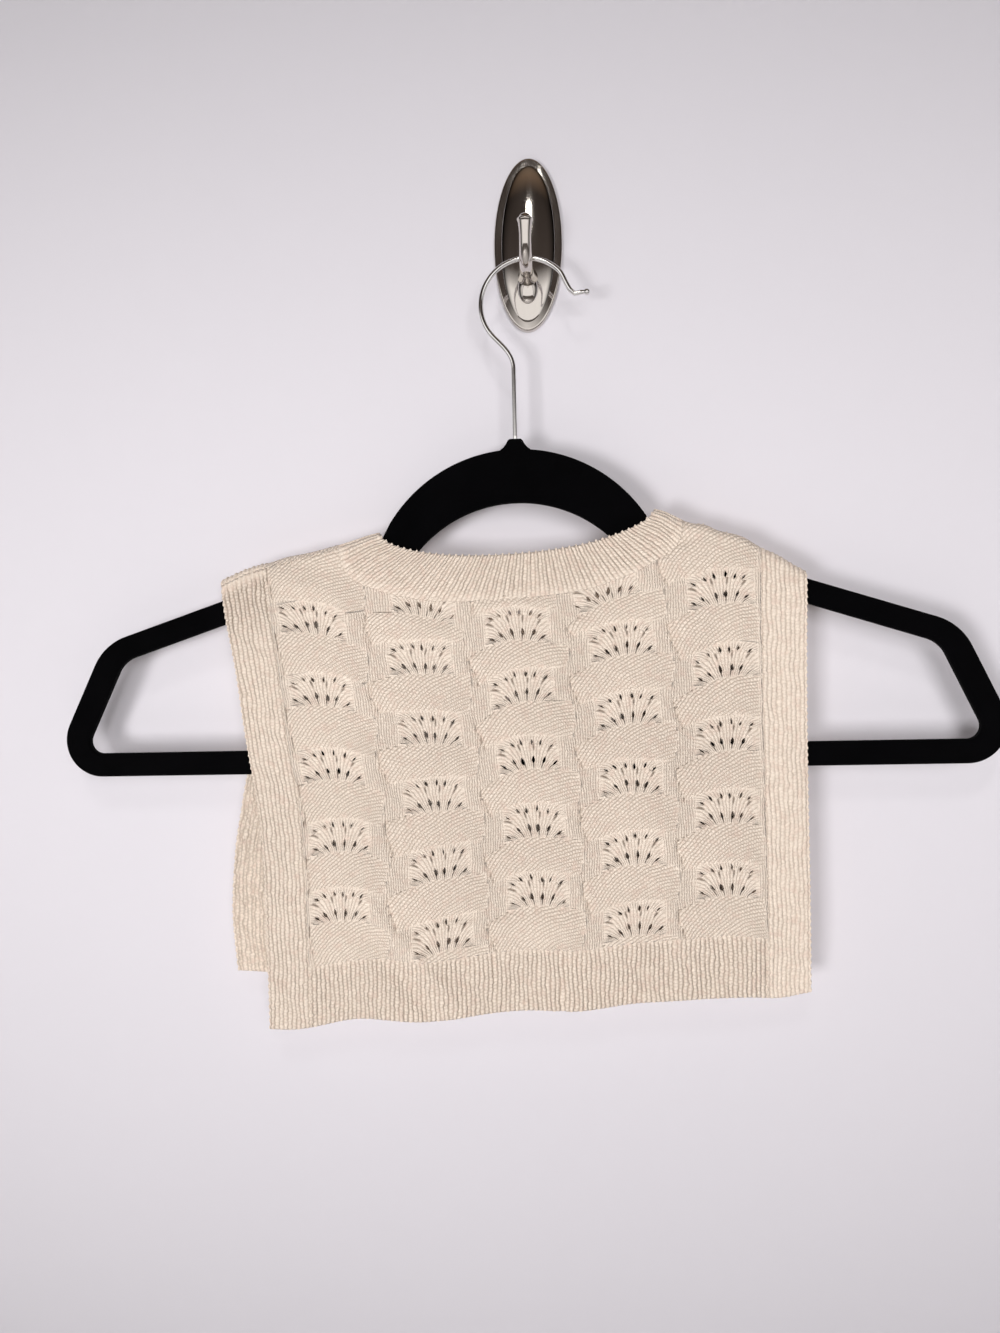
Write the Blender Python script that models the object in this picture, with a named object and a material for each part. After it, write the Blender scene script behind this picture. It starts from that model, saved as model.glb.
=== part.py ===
"""A shell-lace knitted tabard vest on a flocked hanger, hung from an oval wall hook.

Metres, +Z up. The wall is the plane y = 0 and the origin is the centre of the wall
plate's flat back. The vest's back panel faces -Y, away from the wall, and its front
panel hangs behind the hanger. The hanger and the vest are shaped in the hanger's own
frame, whose origin is the foot of the wire hook, and are tilted together.
"""
import math
from collections import namedtuple

import bmesh
import bpy
from mathutils import Vector

MM = 0.001

# Where the hanger hangs
HANGER_FOOT = Vector((-5.2, -22.5, -103.25)) * MM
HANGER_TILT = math.radians(1.3)

# Wall hook: an oval plate with a raised dome, and a J-shaped arm
PLATE_WIDTH = 33.8 * MM
PLATE_HEIGHT = 85.4 * MM
PLATE_THICK = 3.0 * MM
PLATE_EDGE_ROUND = 1.0 * MM
DOME_INSET = 3.2 * MM
DOME_RISE = 3.4 * MM
DOME_SINK = 1.0 * MM
ARM_BASE_SIZE = Vector((10.0, 9.0, 20.8)) * MM
ARM_BASE_AT = Vector((0.0, -3.5, -19.0)) * MM
ArmStation = namedtuple("ArmStation", "out up radius")
ARM_STATIONS = [
    ArmStation(2.5, -17.0, 3.8),
    ArmStation(8.0, -18.0, 3.4),
    ArmStation(14.0, -19.0, 3.2),
    ArmStation(20.0, -19.5, 3.15),
    ArmStation(25.0, -19.2, 3.2),
    ArmStation(29.0, -17.2, 3.2),
    ArmStation(32.0, -13.6, 3.2),
    ArmStation(33.6, -9.4, 3.4),
    ArmStation(34.4, -5.4, 3.8),
    ArmStation(34.7, -2.6, 3.7),
    ArmStation(34.8, -1.2, 2.9),
    ArmStation(34.8, -0.5, 1.5),
]

# Hanger: a flat flocked frame with a neck arch, sloping arms and a trouser bar
HANGER_THICK = 5.0 * MM
HANGER_EDGE_ROUND = 1.2 * MM
ARCH_OUTER_RADIUS = 72.0 * MM
ARCH_OUTER_TOP = -2.2 * MM
ARCH_INNER_RADIUS = 63.0 * MM
ARCH_INNER_TOP = -27.5 * MM
ARM_REACH = 145.0 * MM
ARM_TOP_Z = -70.8 * MM
ARM_BOTTOM_Z = -82.4 * MM
ARM_SLOPE = 0.328
END_REACH = 213.9 * MM
END_Z = -114.0 * MM
END_SLOPE = 2.145
END_BAND = 13.4 * MM
BAR_TOP_Z = -142.7 * MM
BAR_BOTTOM_Z = -154.0 * MM
SHOULDER_CORNER_ROUND = 26.0 * MM
BAR_CORNER_ROUND = 18.0 * MM
BAND_WIDTH = 12.0 * MM
NOTCH_ROUND = 5.0 * MM
BOSS_HALF_FOOT = 6.8 * MM
BOSS_HALF_WAIST = 4.4 * MM
BOSS_WAIST_Z = 0.6 * MM
BOSS_HALF_TOP = 2.7 * MM
BOSS_TOP_Z = 2.7 * MM

# Wire hook: a stem, an S bend and a crook that ends in a small ball
WIRE_RADIUS = 1.18 * MM
WIRE_CLEARANCE = 0.3 * MM
WIRE_FOOT_Z = -9.0 * MM
STEM_TOP_Z = 36.0 * MM
CROOK_RADIUS = 21.9 * MM
CROOK_X = 6.9 * MM
CROOK_Z = 66.4 * MM
CROOK_START = math.radians(222.0)
CROOK_END = math.radians(44.0)
STEM_BEND_PULL = 7.0 * MM
CROOK_LAST_PULL = 3.0 * MM
TIP_KNEE = Vector((28.9, 0.0, 70.8)) * MM
TIP_KNEE_PULL = Vector((-3.0, 0.0, 3.0)) * MM
TIP_KNEE_ROUND = Vector((0.9, 0.0, -0.5)) * MM
TIP_END = Vector((35.4, 0.0, 70.9)) * MM
TIP_NECK = 2.5 * MM
BALL_RADIUS = 1.55 * MM
BALL_FIRST_TURN = math.radians(35.0)
BALL_LAST_TURN = math.radians(165.0)
BALL_EXTRA = 0.1 * MM

# Knitted cloth
CLOTH_WALL = 2.0 * MM
FOLD_RADIUS = 4.0 * MM
SEAM_GAP = 0.35 * MM
NECK_SEAM_GAP = 0.6 * MM
RIB_RISE = 0.9 * MM
SHELL_RISE = 1.2 * MM
STRIP_RISE = 0.5 * MM
BORDER_SHARE = 0.0775
BORDER_RIBS = 6
HEM_HEIGHT = 28.3 * MM
HEM_RIB_PITCH = 4.0 * MM
NECK_RIB_PITCH = 3.8 * MM
SEAM_LEFT = 5.0 * MM
SEAM_RIGHT = -2.0 * MM
HEM_WAVE = 2.4 * MM
HEM_WAVES = 3.5
HEM_WAVE_MIDDLE = 0.55
HEM_WAVE_SWING = 0.45
HEM_WAVE_TURN = 0.8
PANEL_WIDTH = 256.0 * MM
PANEL_DROP = 216.0 * MM
LACE_HEIGHT = 170.0 * MM

# Shell lace: columns across the panel, rows up from the hem, every other column half a row lower
LACE_COLUMNS = 5
LACE_FIRST = 0.153
LACE_PITCH = 0.1757
LACE_ROW = 32.7 * MM
LACE_BASE = 28.9 * MM
SHELL_HALF_WIDTH = 0.40
SHELL_CENTRE = -0.52
SHELL_HALF_HEIGHT = 0.30
SHELL_ARCH = 0.16
ROW_STRETCH = 1.03
ROW_SAG = 0.08
ROW_SAG_REACH = 0.35

# The shoulder line: how high the fold's outside stands above the hanger's origin
FoldRow = namedtuple("FoldRow", "x top")
SHOULDER_LINE = [
    FoldRow(-146.0, -60.6),
    FoldRow(-128.0, -53.6),
    FoldRow(-100.0, -48.0),
    FoldRow(-80.0, -43.0),
    FoldRow(-66.0, -39.6),
    FoldRow(-30.0, -38.0),
    FoldRow(30.0, -35.0),
    FoldRow(64.0, -32.6),
    FoldRow(78.0, -37.8),
    FoldRow(96.0, -43.2),
    FoldRow(112.0, -50.4),
    FoldRow(125.0, -58.0),
    FoldRow(136.0, -64.5),
]

# Panel outlines: side edges by share of the way down, hem edges by share of the way across
EdgeRow = namedtuple("EdgeRow", "down left right")
HemRow = namedtuple("HemRow", "across z")
NeckEdge = namedtuple("NeckEdge", "left right drop_back drop_front power")
Panel = namedtuple("Panel", "name side edges hem split")

BACK_EDGES = [
    EdgeRow(0.00, -142.5, 133.2),
    EdgeRow(0.08, -141.0, 132.9),
    EdgeRow(0.21, -136.5, 132.2),
    EdgeRow(0.36, -132.5, 131.7),
    EdgeRow(0.58, -125.2, 131.3),
    EdgeRow(0.72, -123.8, 131.2),
    EdgeRow(1.00, -122.8, 130.7),
]
FRONT_EDGES = [
    EdgeRow(0.00, -142.5, 133.2),
    EdgeRow(0.16, -138.5, 128.0),
    EdgeRow(0.31, -134.0, 124.0),
    EdgeRow(0.45, -133.0, 121.0),
    EdgeRow(0.58, -137.2, 119.5),
    EdgeRow(0.70, -141.4, 118.0),
    EdgeRow(0.85, -143.4, 116.0),
    EdgeRow(1.00, -141.5, 115.0),
]
BACK_HEM = [
    HemRow(0.00, -274.6),
    HemRow(0.04, -275.2),
    HemRow(0.19, -269.6),
    HemRow(0.29, -271.2),
    HemRow(0.50, -265.2),
    HemRow(0.57, -266.0),
    HemRow(0.70, -262.2),
    HemRow(0.88, -259.4),
    HemRow(0.94, -260.6),
    HemRow(1.00, -257.6),
]
FRONT_HEM = [
    HemRow(0.00, -250.4),
    HemRow(0.08, -251.2),
    HemRow(0.35, -248.0),
    HemRow(0.70, -243.5),
    HemRow(1.00, -240.0),
]
BACK_PANEL = Panel("back", -1, BACK_EDGES, BACK_HEM, 25.0)
FRONT_PANEL = Panel("front", 1, FRONT_EDGES, FRONT_HEM, 42.0)

# Neckband: its free edge and its sewn edge, as drops from the shoulder line
NECK_FREE_EDGE = NeckEdge(-66.0 * MM, 64.8 * MM, 16.4 * MM, 44.0 * MM, 2.1)
NECK_SEWN_EDGE = NeckEdge(-85.4 * MM, 77.5 * MM, 37.6 * MM, 66.0 * MM, 2.6)

# How finely the cloth is divided
NECK_COLUMNS = 28
SHOULDER_COLUMNS = 8
BODY_ROWS = 28
SHOULDER_ROWS = 7
CLIMB_POWER = 1.6
PLAIN_ROW_STEP = 7
PLAIN_BORDER_STEP = 6
PLAIN_HEM_STEP = 4
HEM_ROWS = 2
NECKBAND_ROWS = 2

CURVE_SAMPLES = 240
NECK_FIT_ROUNDS = 12
CROSSING_ROUNDS = 50
WELD_DISTANCE = 0.02 * MM
SHARP_EDGE = math.radians(40)


def clear_scene():
    """Take every object and collection out of the open file."""
    for thing in list(bpy.data.objects):
        bpy.data.objects.remove(thing, do_unlink=True)
    for group in list(bpy.data.collections):
        bpy.data.collections.remove(group)


def make_collection(name):
    group = bpy.data.collections.new(name)
    bpy.context.scene.collection.children.link(group)
    return group


def make_material(name, colour, roughness, metallic):
    material = bpy.data.materials.new(name)
    material.use_nodes = True
    shader = material.node_tree.nodes["Principled BSDF"]
    shader.inputs["Base Color"].default_value = (*colour, 1.0)
    shader.inputs["Roughness"].default_value = roughness
    shader.inputs["Metallic"].default_value = metallic
    return material


def read_rows(rows, key, value, at):
    """Read a table at any place, with a smooth curve through its rows."""
    keys = [getattr(row, key) for row in rows]
    values = [getattr(row, value) for row in rows]
    at = min(max(at, keys[0]), keys[-1])
    low = max(i for i in range(len(keys) - 1) if keys[i] <= at)
    slopes = [(values[i + 1] - values[i]) / (keys[i + 1] - keys[i]) for i in range(len(keys) - 1)]

    def tangent(i):
        if i == 0 or i == len(keys) - 1:
            return slopes[min(i, len(slopes) - 1)]
        before, after = slopes[i - 1], slopes[i]
        if before * after <= 0:
            return 0.0
        return 2 * before * after / (before + after)

    span = keys[low + 1] - keys[low]
    t = (at - keys[low]) / span
    rise, fall = 3 * t * t - 2 * t ** 3, 1 - 3 * t * t + 2 * t ** 3
    out, back = t ** 3 - 2 * t * t + t, t ** 3 - t * t
    return (fall * values[low] + rise * values[low + 1]
            + span * (out * tangent(low) + back * tangent(low + 1)))


# Flat outlines with rounded corners


def line_crossing(x1, z1, slope1, x2, z2, slope2):
    """Where two sloping lines cross, each given by a point and a slope."""
    x = (z2 - z1 + slope1 * x1 - slope2 * x2) / (slope1 - slope2)
    return x, z1 + slope1 * (x - x1)


def round_corner(before, corner, after, radius, steps=6):
    """Points of the arc that rounds a corner between two straight runs."""
    corner = Vector(corner)
    into = (Vector(before) - corner).normalized()
    out = (Vector(after) - corner).normalized()
    half = into.angle(out) / 2
    reach = radius / math.tan(half)
    centre = corner + (into + out).normalized() * (radius / math.sin(half))
    start = corner + into * reach - centre
    end = corner + out * reach - centre
    turn = math.atan2(start.x * end.y - start.y * end.x, start.dot(end))
    points = []
    for step in range(steps + 1):
        angle = turn * step / steps
        x = start.x * math.cos(angle) - start.y * math.sin(angle)
        y = start.x * math.sin(angle) + start.y * math.cos(angle)
        points.append((centre.x + x, centre.y + y))
    return points


def arch_height(x, radius, top):
    return top - radius + math.sqrt(radius * radius - x * x)


def arch_points(radius, top, x_from, x_to, steps):
    """Points of a round arch between two places across it."""
    start, end = math.asin(x_from / radius), math.asin(x_to / radius)
    points = []
    for step in range(steps + 1):
        angle = start + (end - start) * step / steps
        points.append((radius * math.sin(angle), top - radius + radius * math.cos(angle)))
    return points


def arch_meets_arm(radius, top, arm_z):
    """How far out the arch comes down to a sloping edge of the arm."""
    low, high = 0.0, radius * 0.999
    for _ in range(CROSSING_ROUNDS):
        middle = (low + high) / 2
        edge = arm_z - ARM_SLOPE * (middle - ARM_REACH)
        if arch_height(middle, radius, top) > edge:
            low = middle
        else:
            high = middle
    return low


def mirrored(half):
    """A whole outline from its right half, listed from the top round to the bottom."""
    return half + [(-x, z) for x, z in reversed(half)]


def hanger_outer_outline():
    meet_x = arch_meets_arm(ARCH_OUTER_RADIUS, ARCH_OUTER_TOP, ARM_TOP_Z)
    notch = (meet_x, arch_height(meet_x, ARCH_OUTER_RADIUS, ARCH_OUTER_TOP))
    short = meet_x - NOTCH_ROUND
    above = (short, arch_height(short, ARCH_OUTER_RADIUS, ARCH_OUTER_TOP))
    shoulder = line_crossing(ARM_REACH, ARM_TOP_Z, -ARM_SLOPE, END_REACH, END_Z, -END_SLOPE)
    low = (END_REACH + (END_Z - BAR_BOTTOM_Z) / END_SLOPE, BAR_BOTTOM_Z)
    half = [(BOSS_HALF_TOP, BOSS_TOP_Z), (BOSS_HALF_WAIST, BOSS_WAIST_Z)]
    half += arch_points(ARCH_OUTER_RADIUS, ARCH_OUTER_TOP, BOSS_HALF_FOOT, short, 12)
    half += round_corner(above, notch, shoulder, NOTCH_ROUND, 3)
    half += round_corner(notch, shoulder, low, SHOULDER_CORNER_ROUND)
    half += round_corner(shoulder, low, (0.0, BAR_BOTTOM_Z), BAR_CORNER_ROUND, 8)
    return mirrored(half)


def hanger_inner_outline():
    meet_x = arch_meets_arm(ARCH_INNER_RADIUS, ARCH_INNER_TOP, ARM_BOTTOM_Z)
    start = (meet_x, arch_height(meet_x, ARCH_INNER_RADIUS, ARCH_INNER_TOP))
    reach = END_REACH - END_BAND
    shoulder = line_crossing(ARM_REACH, ARM_BOTTOM_Z, -ARM_SLOPE, reach, END_Z, -END_SLOPE)
    low = (reach + (END_Z - BAR_TOP_Z) / END_SLOPE, BAR_TOP_Z)
    half = arch_points(ARCH_INNER_RADIUS, ARCH_INNER_TOP, 0.0, meet_x, 9)[1:]
    half += round_corner(start, shoulder, low, SHOULDER_CORNER_ROUND - BAND_WIDTH)
    half += round_corner(shoulder, low, (0.0, BAR_TOP_Z), BAR_CORNER_ROUND - BAND_WIDTH, 5)
    return mirrored(half)


# Curves, and the meshes made from them


def plate_curve(name, outlines, thickness, edge_round, detail=1):
    """A flat plate with rounded edges, upright in the XZ plane, from closed outlines."""
    curve = bpy.data.curves.new(name, "CURVE")
    curve.dimensions = "2D"
    curve.fill_mode = "BOTH"
    curve.extrude = thickness / 2 - edge_round
    curve.bevel_depth = edge_round
    curve.bevel_resolution = detail
    curve.offset = -edge_round
    for outline in outlines:
        spline = curve.splines.new("POLY")
        spline.points.add(len(outline) - 1)
        for point, (x, z) in zip(spline.points, outline):
            point.co = (x, z, 0.0, 1.0)
        spline.use_cyclic_u = True
    thing = bpy.data.objects.new(name, curve)
    thing.rotation_euler = (math.radians(90), 0.0, 0.0)
    return thing


def tube_curve(name, stations, detail=2):
    """A round rod through stations of (place, radius), with closed ends."""
    curve = bpy.data.curves.new(name, "CURVE")
    curve.dimensions = "3D"
    curve.bevel_depth = 1.0 * MM
    curve.bevel_resolution = detail
    curve.use_fill_caps = True
    spline = curve.splines.new("POLY")
    spline.points.add(len(stations) - 1)
    for point, (place, radius) in zip(spline.points, stations):
        point.co = (*place, 1.0)
        point.radius = radius / MM
    return bpy.data.objects.new(name, curve)


def curve_to_mesh(curve_object, collection):
    """Swap a curve for the closed mesh that it makes, with its caps welded on."""
    name = curve_object.name
    collection.objects.link(curve_object)
    bpy.context.view_layer.update()
    evaluated = curve_object.evaluated_get(bpy.context.evaluated_depsgraph_get())
    mesh = bpy.data.meshes.new_from_object(evaluated)
    place = curve_object.matrix_world.copy()
    bpy.data.objects.remove(curve_object, do_unlink=True)
    mesh.transform(place)
    solid = bmesh.new()
    solid.from_mesh(mesh)
    bmesh.ops.remove_doubles(solid, verts=solid.verts, dist=WELD_DISTANCE)
    bmesh.ops.recalc_face_normals(solid, faces=solid.faces)
    solid.to_mesh(mesh)
    solid.free()
    mesh.name = name
    thing = bpy.data.objects.new(name, mesh)
    collection.objects.link(thing)
    return thing


def mesh_object(name, solid, collection):
    mesh = bpy.data.meshes.new(name)
    bmesh.ops.recalc_face_normals(solid, faces=solid.faces)
    solid.to_mesh(mesh)
    solid.free()
    thing = bpy.data.objects.new(name, mesh)
    collection.objects.link(thing)
    return thing


def boolean(thing, other, operation):
    """Join or cut with another solid, which stays behind as a guide."""
    modifier = thing.modifiers.new(f"{operation.lower()}_{other.name}", "BOOLEAN")
    modifier.operation = operation
    modifier.solver = "EXACT"
    modifier.object = other
    other.hide_render = True
    other.display_type = "WIRE"


def finish(thing, material, parent=None):
    thing.data.materials.clear()
    thing.data.materials.append(material)
    thing.data.shade_smooth()
    thing.data.set_sharp_from_angle(angle=SHARP_EDGE)
    if parent:
        thing.parent = parent


# Wall hook


def oval(width, height, steps=40):
    turns = [2 * math.pi * step / steps for step in range(steps)]
    return [(width / 2 * math.cos(turn), height / 2 * math.sin(turn)) for turn in turns]


def seated_ball(half_size, centre, back, segments, rings):
    """A stretched ball with its back cut flat, so that it ends inside the plate."""
    ball = bmesh.new()
    bmesh.ops.create_uvsphere(ball, u_segments=segments, v_segments=rings, radius=1.0)
    bmesh.ops.scale(ball, verts=ball.verts, vec=half_size)
    bmesh.ops.translate(ball, verts=ball.verts, vec=centre)
    everything = ball.verts[:] + ball.edges[:] + ball.faces[:]
    cut = bmesh.ops.bisect_plane(ball, geom=everything, plane_co=(0.0, back, 0.0),
                                 plane_no=(0.0, 1.0, 0.0), clear_outer=True)
    rim = [item for item in cut["geom_cut"] if isinstance(item, bmesh.types.BMEdge)]
    bmesh.ops.edgeloop_fill(ball, edges=rim)
    return ball


def make_wall_hook(parts, guides, material):
    """The oval plate with its dome and its J arm, as one casting."""
    plate_shape = plate_curve("wall_hook", [oval(PLATE_WIDTH, PLATE_HEIGHT)],
                              PLATE_THICK, PLATE_EDGE_ROUND)
    plate_shape.location = (0.0, -PLATE_THICK / 2, 0.0)
    plate = curve_to_mesh(plate_shape, parts)

    half_size = Vector((PLATE_WIDTH / 2 - DOME_INSET, DOME_RISE + DOME_SINK,
                        PLATE_HEIGHT / 2 - DOME_INSET))
    back = -PLATE_THICK + DOME_SINK
    dome = seated_ball(half_size, Vector((0.0, back, 0.0)), back, 32, 16)
    boolean(plate, mesh_object("hook_dome", dome, guides), "UNION")

    base = seated_ball(ARM_BASE_SIZE / 2, ARM_BASE_AT, -PLATE_THICK / 2, 20, 12)
    boolean(plate, mesh_object("hook_arm_base", base, guides), "UNION")

    stations = [((0.0, -row.out * MM, row.up * MM), row.radius * MM) for row in ARM_STATIONS]
    arm = curve_to_mesh(tube_curve("hook_arm", stations, 4), guides)
    boolean(plate, arm, "UNION")
    finish(plate, material)


# Hanger


def make_hanger(parts, guides, material, parent):
    """The flat frame, with a bore for the wire in its boss."""
    outlines = [hanger_outer_outline(), hanger_inner_outline()]
    plate = plate_curve("hanger_frame", outlines, HANGER_THICK, HANGER_EDGE_ROUND)
    frame = curve_to_mesh(plate, parts)
    bore_floor = WIRE_FOOT_Z - WIRE_CLEARANCE
    depth = BOSS_TOP_Z - bore_floor + HANGER_THICK
    bore_radius = WIRE_RADIUS + WIRE_CLEARANCE
    bpy.ops.mesh.primitive_cylinder_add(vertices=16, radius=bore_radius, depth=depth)
    bore = bpy.context.object
    bore.name = "wire_bore"
    bore.location = (0.0, 0.0, bore_floor + depth / 2)
    for group in list(bore.users_collection):
        group.objects.unlink(bore)
    guides.objects.link(bore)
    bore.parent = parent
    boolean(frame, bore, "DIFFERENCE")
    finish(frame, material, parent)


def blend_points(start, start_pull, end, end_pull, steps):
    """Points of an even bend between two places, pulled along two directions."""
    points = []
    for step in range(1, steps):
        t = step / steps
        points.append(start * (1 - t) ** 3 + (start + start_pull) * 3 * t * (1 - t) ** 2
                      + (end + end_pull) * 3 * t * t * (1 - t) + end * t ** 3)
    return points


def wire_stations():
    """The wire hook's middle line and radius, from its foot in the boss to its ball."""
    def on_crook(angle):
        return Vector((CROOK_X + CROOK_RADIUS * math.cos(angle), 0.0,
                       CROOK_Z + CROOK_RADIUS * math.sin(angle)))

    stem_steps, bend_steps, crook_steps, tip_steps, ball_steps = 3, 6, 22, 3, 5
    rise = (STEM_TOP_Z - WIRE_FOOT_Z) / stem_steps
    line = [Vector((0.0, 0.0, WIRE_FOOT_Z + rise * step)) for step in range(stem_steps + 1)]
    start = on_crook(CROOK_START)
    along = Vector((math.sin(CROOK_START), 0.0, -math.cos(CROOK_START)))
    stem_pull = Vector((0.0, 0.0, STEM_BEND_PULL))
    line += blend_points(line[-1], stem_pull, start, along * -STEM_BEND_PULL, bend_steps)
    for step in range(crook_steps + 1):
        line.append(on_crook(CROOK_START + (CROOK_END - CROOK_START) * step / crook_steps))
    last_pull = Vector((math.sin(CROOK_END), 0.0, -math.cos(CROOK_END))) * CROOK_LAST_PULL
    line += blend_points(line[-1], last_pull, TIP_KNEE, TIP_KNEE_PULL, tip_steps)
    line += [TIP_KNEE + TIP_KNEE_ROUND, TIP_END - Vector((TIP_NECK, 0.0, 0.0))]
    stations = [(point, WIRE_RADIUS) for point in line]
    for step in range(ball_steps):
        angle = BALL_FIRST_TURN + (BALL_LAST_TURN - BALL_FIRST_TURN) * step / (ball_steps - 1)
        centre = TIP_END - Vector((math.cos(angle) * BALL_RADIUS, 0.0, 0.0))
        stations.append((centre, BALL_RADIUS * math.sin(angle) + BALL_EXTRA))
    return stations


def make_wire(parts, material, parent):
    finish(curve_to_mesh(tube_curve("wire_hook", wire_stations()), parts), material, parent)


# Cloth: places on the vest are told by x and by the way down from the shoulder fold


def fold_middle(x):
    """Height of the fold's middle surface at a place along the shoulders."""
    return read_rows(SHOULDER_LINE, "x", "top", x / MM) * MM - CLOTH_WALL / 2 - RIB_RISE / 2


def wave_out(x, down):
    """How far the cloth swells away from the hanger, mostly near the hem."""
    share = max(0.0, down / PANEL_DROP)
    turn = 2 * math.pi * HEM_WAVES * x / PANEL_WIDTH + HEM_WAVE_TURN
    return HEM_WAVE * share ** 2 * (HEM_WAVE_MIDDLE + HEM_WAVE_SWING * math.sin(turn))


def cloth_point(side, x, down, lift):
    """A point of the cloth: down the back (side -1) or the front (side 1) from the fold.

    A negative way down goes over the fold to the other side. The lift is how far the
    point stands out of the cloth's middle surface, away from the hanger.
    """
    quarter = FOLD_RADIUS * math.pi / 2
    crest = fold_middle(x) - FOLD_RADIUS
    if down < quarter:
        angle = down / FOLD_RADIUS
        reach = FOLD_RADIUS + lift
        return Vector((x, side * reach * math.sin(angle), crest + reach * math.cos(angle)))
    out = FOLD_RADIUS + lift + wave_out(x, down - quarter)
    return Vector((x, side * out, crest - (down - quarter)))


def panel_x(panel, across, down_share):
    left = read_rows(panel.edges, "down", "left", down_share) * MM
    right = read_rows(panel.edges, "down", "right", down_share) * MM
    return left + (right - left) * across


def panel_length(panel, across):
    """Cloth length from the fold to the hem's edge."""
    x = panel_x(panel, across, 1.0)
    hem = read_rows(panel.hem, "across", "z", across) * MM
    return fold_middle(x) - FOLD_RADIUS + FOLD_RADIUS * math.pi / 2 - hem


def panel_point(panel, across, down, lift):
    length = panel_length(panel, across)
    x = panel_x(panel, across, max(0.0, down) / length)
    return cloth_point(panel.side, x, down, lift)


def neck_drop(edge, side, x):
    """How far down the neck's edge lies at x, or nothing outside it."""
    middle, half = (edge.left + edge.right) / 2, (edge.right - edge.left) / 2
    share = abs(x - middle) / half
    if share >= 1:
        return 0.0
    depth = edge.drop_back if side < 0 else edge.drop_front
    return depth * (1 - share ** edge.power) ** (1 / edge.power)


def shoulder_seam(panel, across):
    """The shoulder seam's way down this panel: it lies a little on the back at the left."""
    on_back = SEAM_LEFT + (SEAM_RIGHT - SEAM_LEFT) * across
    return -panel.side * on_back + SEAM_GAP / 2


def grown(edge, gap):
    """A neck edge moved out by the seam gap."""
    return NeckEdge(edge.left - gap, edge.right + gap, edge.drop_back + gap,
                    edge.drop_front + gap, edge.power)


def neck_side_x(edge, side, down, end):
    """Where the neck's edge stands at a way down, at its left (-1) or right (1) end."""
    middle, half = (edge.left + edge.right) / 2, (edge.right - edge.left) / 2
    on_back = (side < 0) == (down > 0)
    depth = edge.drop_back if on_back else edge.drop_front
    share = min(abs(down) / depth, 1.0)
    return middle + end * half * (1 - share ** edge.power) ** (1 / edge.power)


def across_at(panel, x, down):
    """The share across the panel at a place, at a way down near the shoulders."""
    share = max(0.0, down) / panel_length(panel, 0.5)
    left, right = panel_x(panel, 0.0, share), panel_x(panel, 1.0, share)
    return (x - left) / (right - left)


class ClothGrid:
    """Places on one panel by column and row: rows run from the hem's edge to the seam.

    The lowest rows are the hem's, the next are the body's, which end under the neck
    or beside it, and the last ones climb the shoulders beside the neck.
    """

    def __init__(self, panel):
        gap = SEAM_GAP / PANEL_WIDTH
        self.panel = panel
        self.neck = grown(NECK_SEWN_EDGE, NECK_SEAM_GAP)
        self.low, self.high = BORDER_SHARE + gap, 1 - BORDER_SHARE - gap
        self.split = panel.split * MM
        left, right = (self.beside_neck(self.split, end) for end in (-1, 1))
        self.columns = (spread(self.low, left, SHOULDER_COLUMNS)[:-1]
                        + spread(left, right, NECK_COLUMNS)
                        + spread(right, self.high, SHOULDER_COLUMNS)[1:])

    def beside_neck(self, down, end):
        return across_at(self.panel, neck_side_x(self.neck, self.panel.side, down, end), down)

    def hem_top(self, across):
        return panel_length(self.panel, across) - HEM_HEIGHT

    def body_top(self, across):
        """The way down to the body's last row: under the neck it follows the neckband."""
        down = self.neck.drop_back if self.panel.side < 0 else self.neck.drop_front
        length = panel_length(self.panel, across)
        for _ in range(NECK_FIT_ROUNDS):
            x = panel_x(self.panel, across, down / length)
            down = neck_drop(self.neck, self.panel.side, x)
        return max(down, self.split)

    def down(self, across, row):
        """The way down at a row: below 0 is the hem, up to 1 the body, up to 2 the shoulder."""
        hem_top = self.hem_top(across)
        if row <= 0:
            return hem_top - row * HEM_HEIGHT
        body_top = self.body_top(across)
        if row <= 1:
            return hem_top + (body_top - hem_top) * row
        climb = 1 - (2 - row) ** CLIMB_POWER
        return self.split + (shoulder_seam(self.panel, across) - self.split) * climb

    def across(self, column, row):
        """The share across at a column: above the body it is drawn in beside the neck."""
        share = self.columns[column]
        if row <= 1:
            return share
        on_left = column <= SHOULDER_COLUMNS
        outer = self.low if on_left else self.high
        below = self.columns[SHOULDER_COLUMNS if on_left else -1 - SHOULDER_COLUMNS]
        edge = self.beside_neck(self.down(share, row), -1 if on_left else 1)
        return outer + (share - outer) * (edge - outer) / (below - outer)


def zip_rim(solid, fine, coarse):
    """Fill between a fine edge and the coarse edge inside it, given as (mark, point) rows."""
    for (low, here), (high, there) in zip(coarse, coarse[1:]):
        middle = (low + high + 1) // 2
        for i in range(low, high):
            solid.faces.new((fine[i], fine[i + 1], here if i < middle else there))
        solid.faces.new((fine[middle], there, here))


def run_keys(start, end):
    """Grid places along a straight run of a piece's outline."""
    steps = max(abs(end[0] - start[0]), abs(end[1] - start[1]))
    across, up = end[0] - start[0], end[1] - start[1]
    return [(start[0] + across * k // steps, start[1] + up * k // steps) for k in range(steps + 1)]


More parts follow.
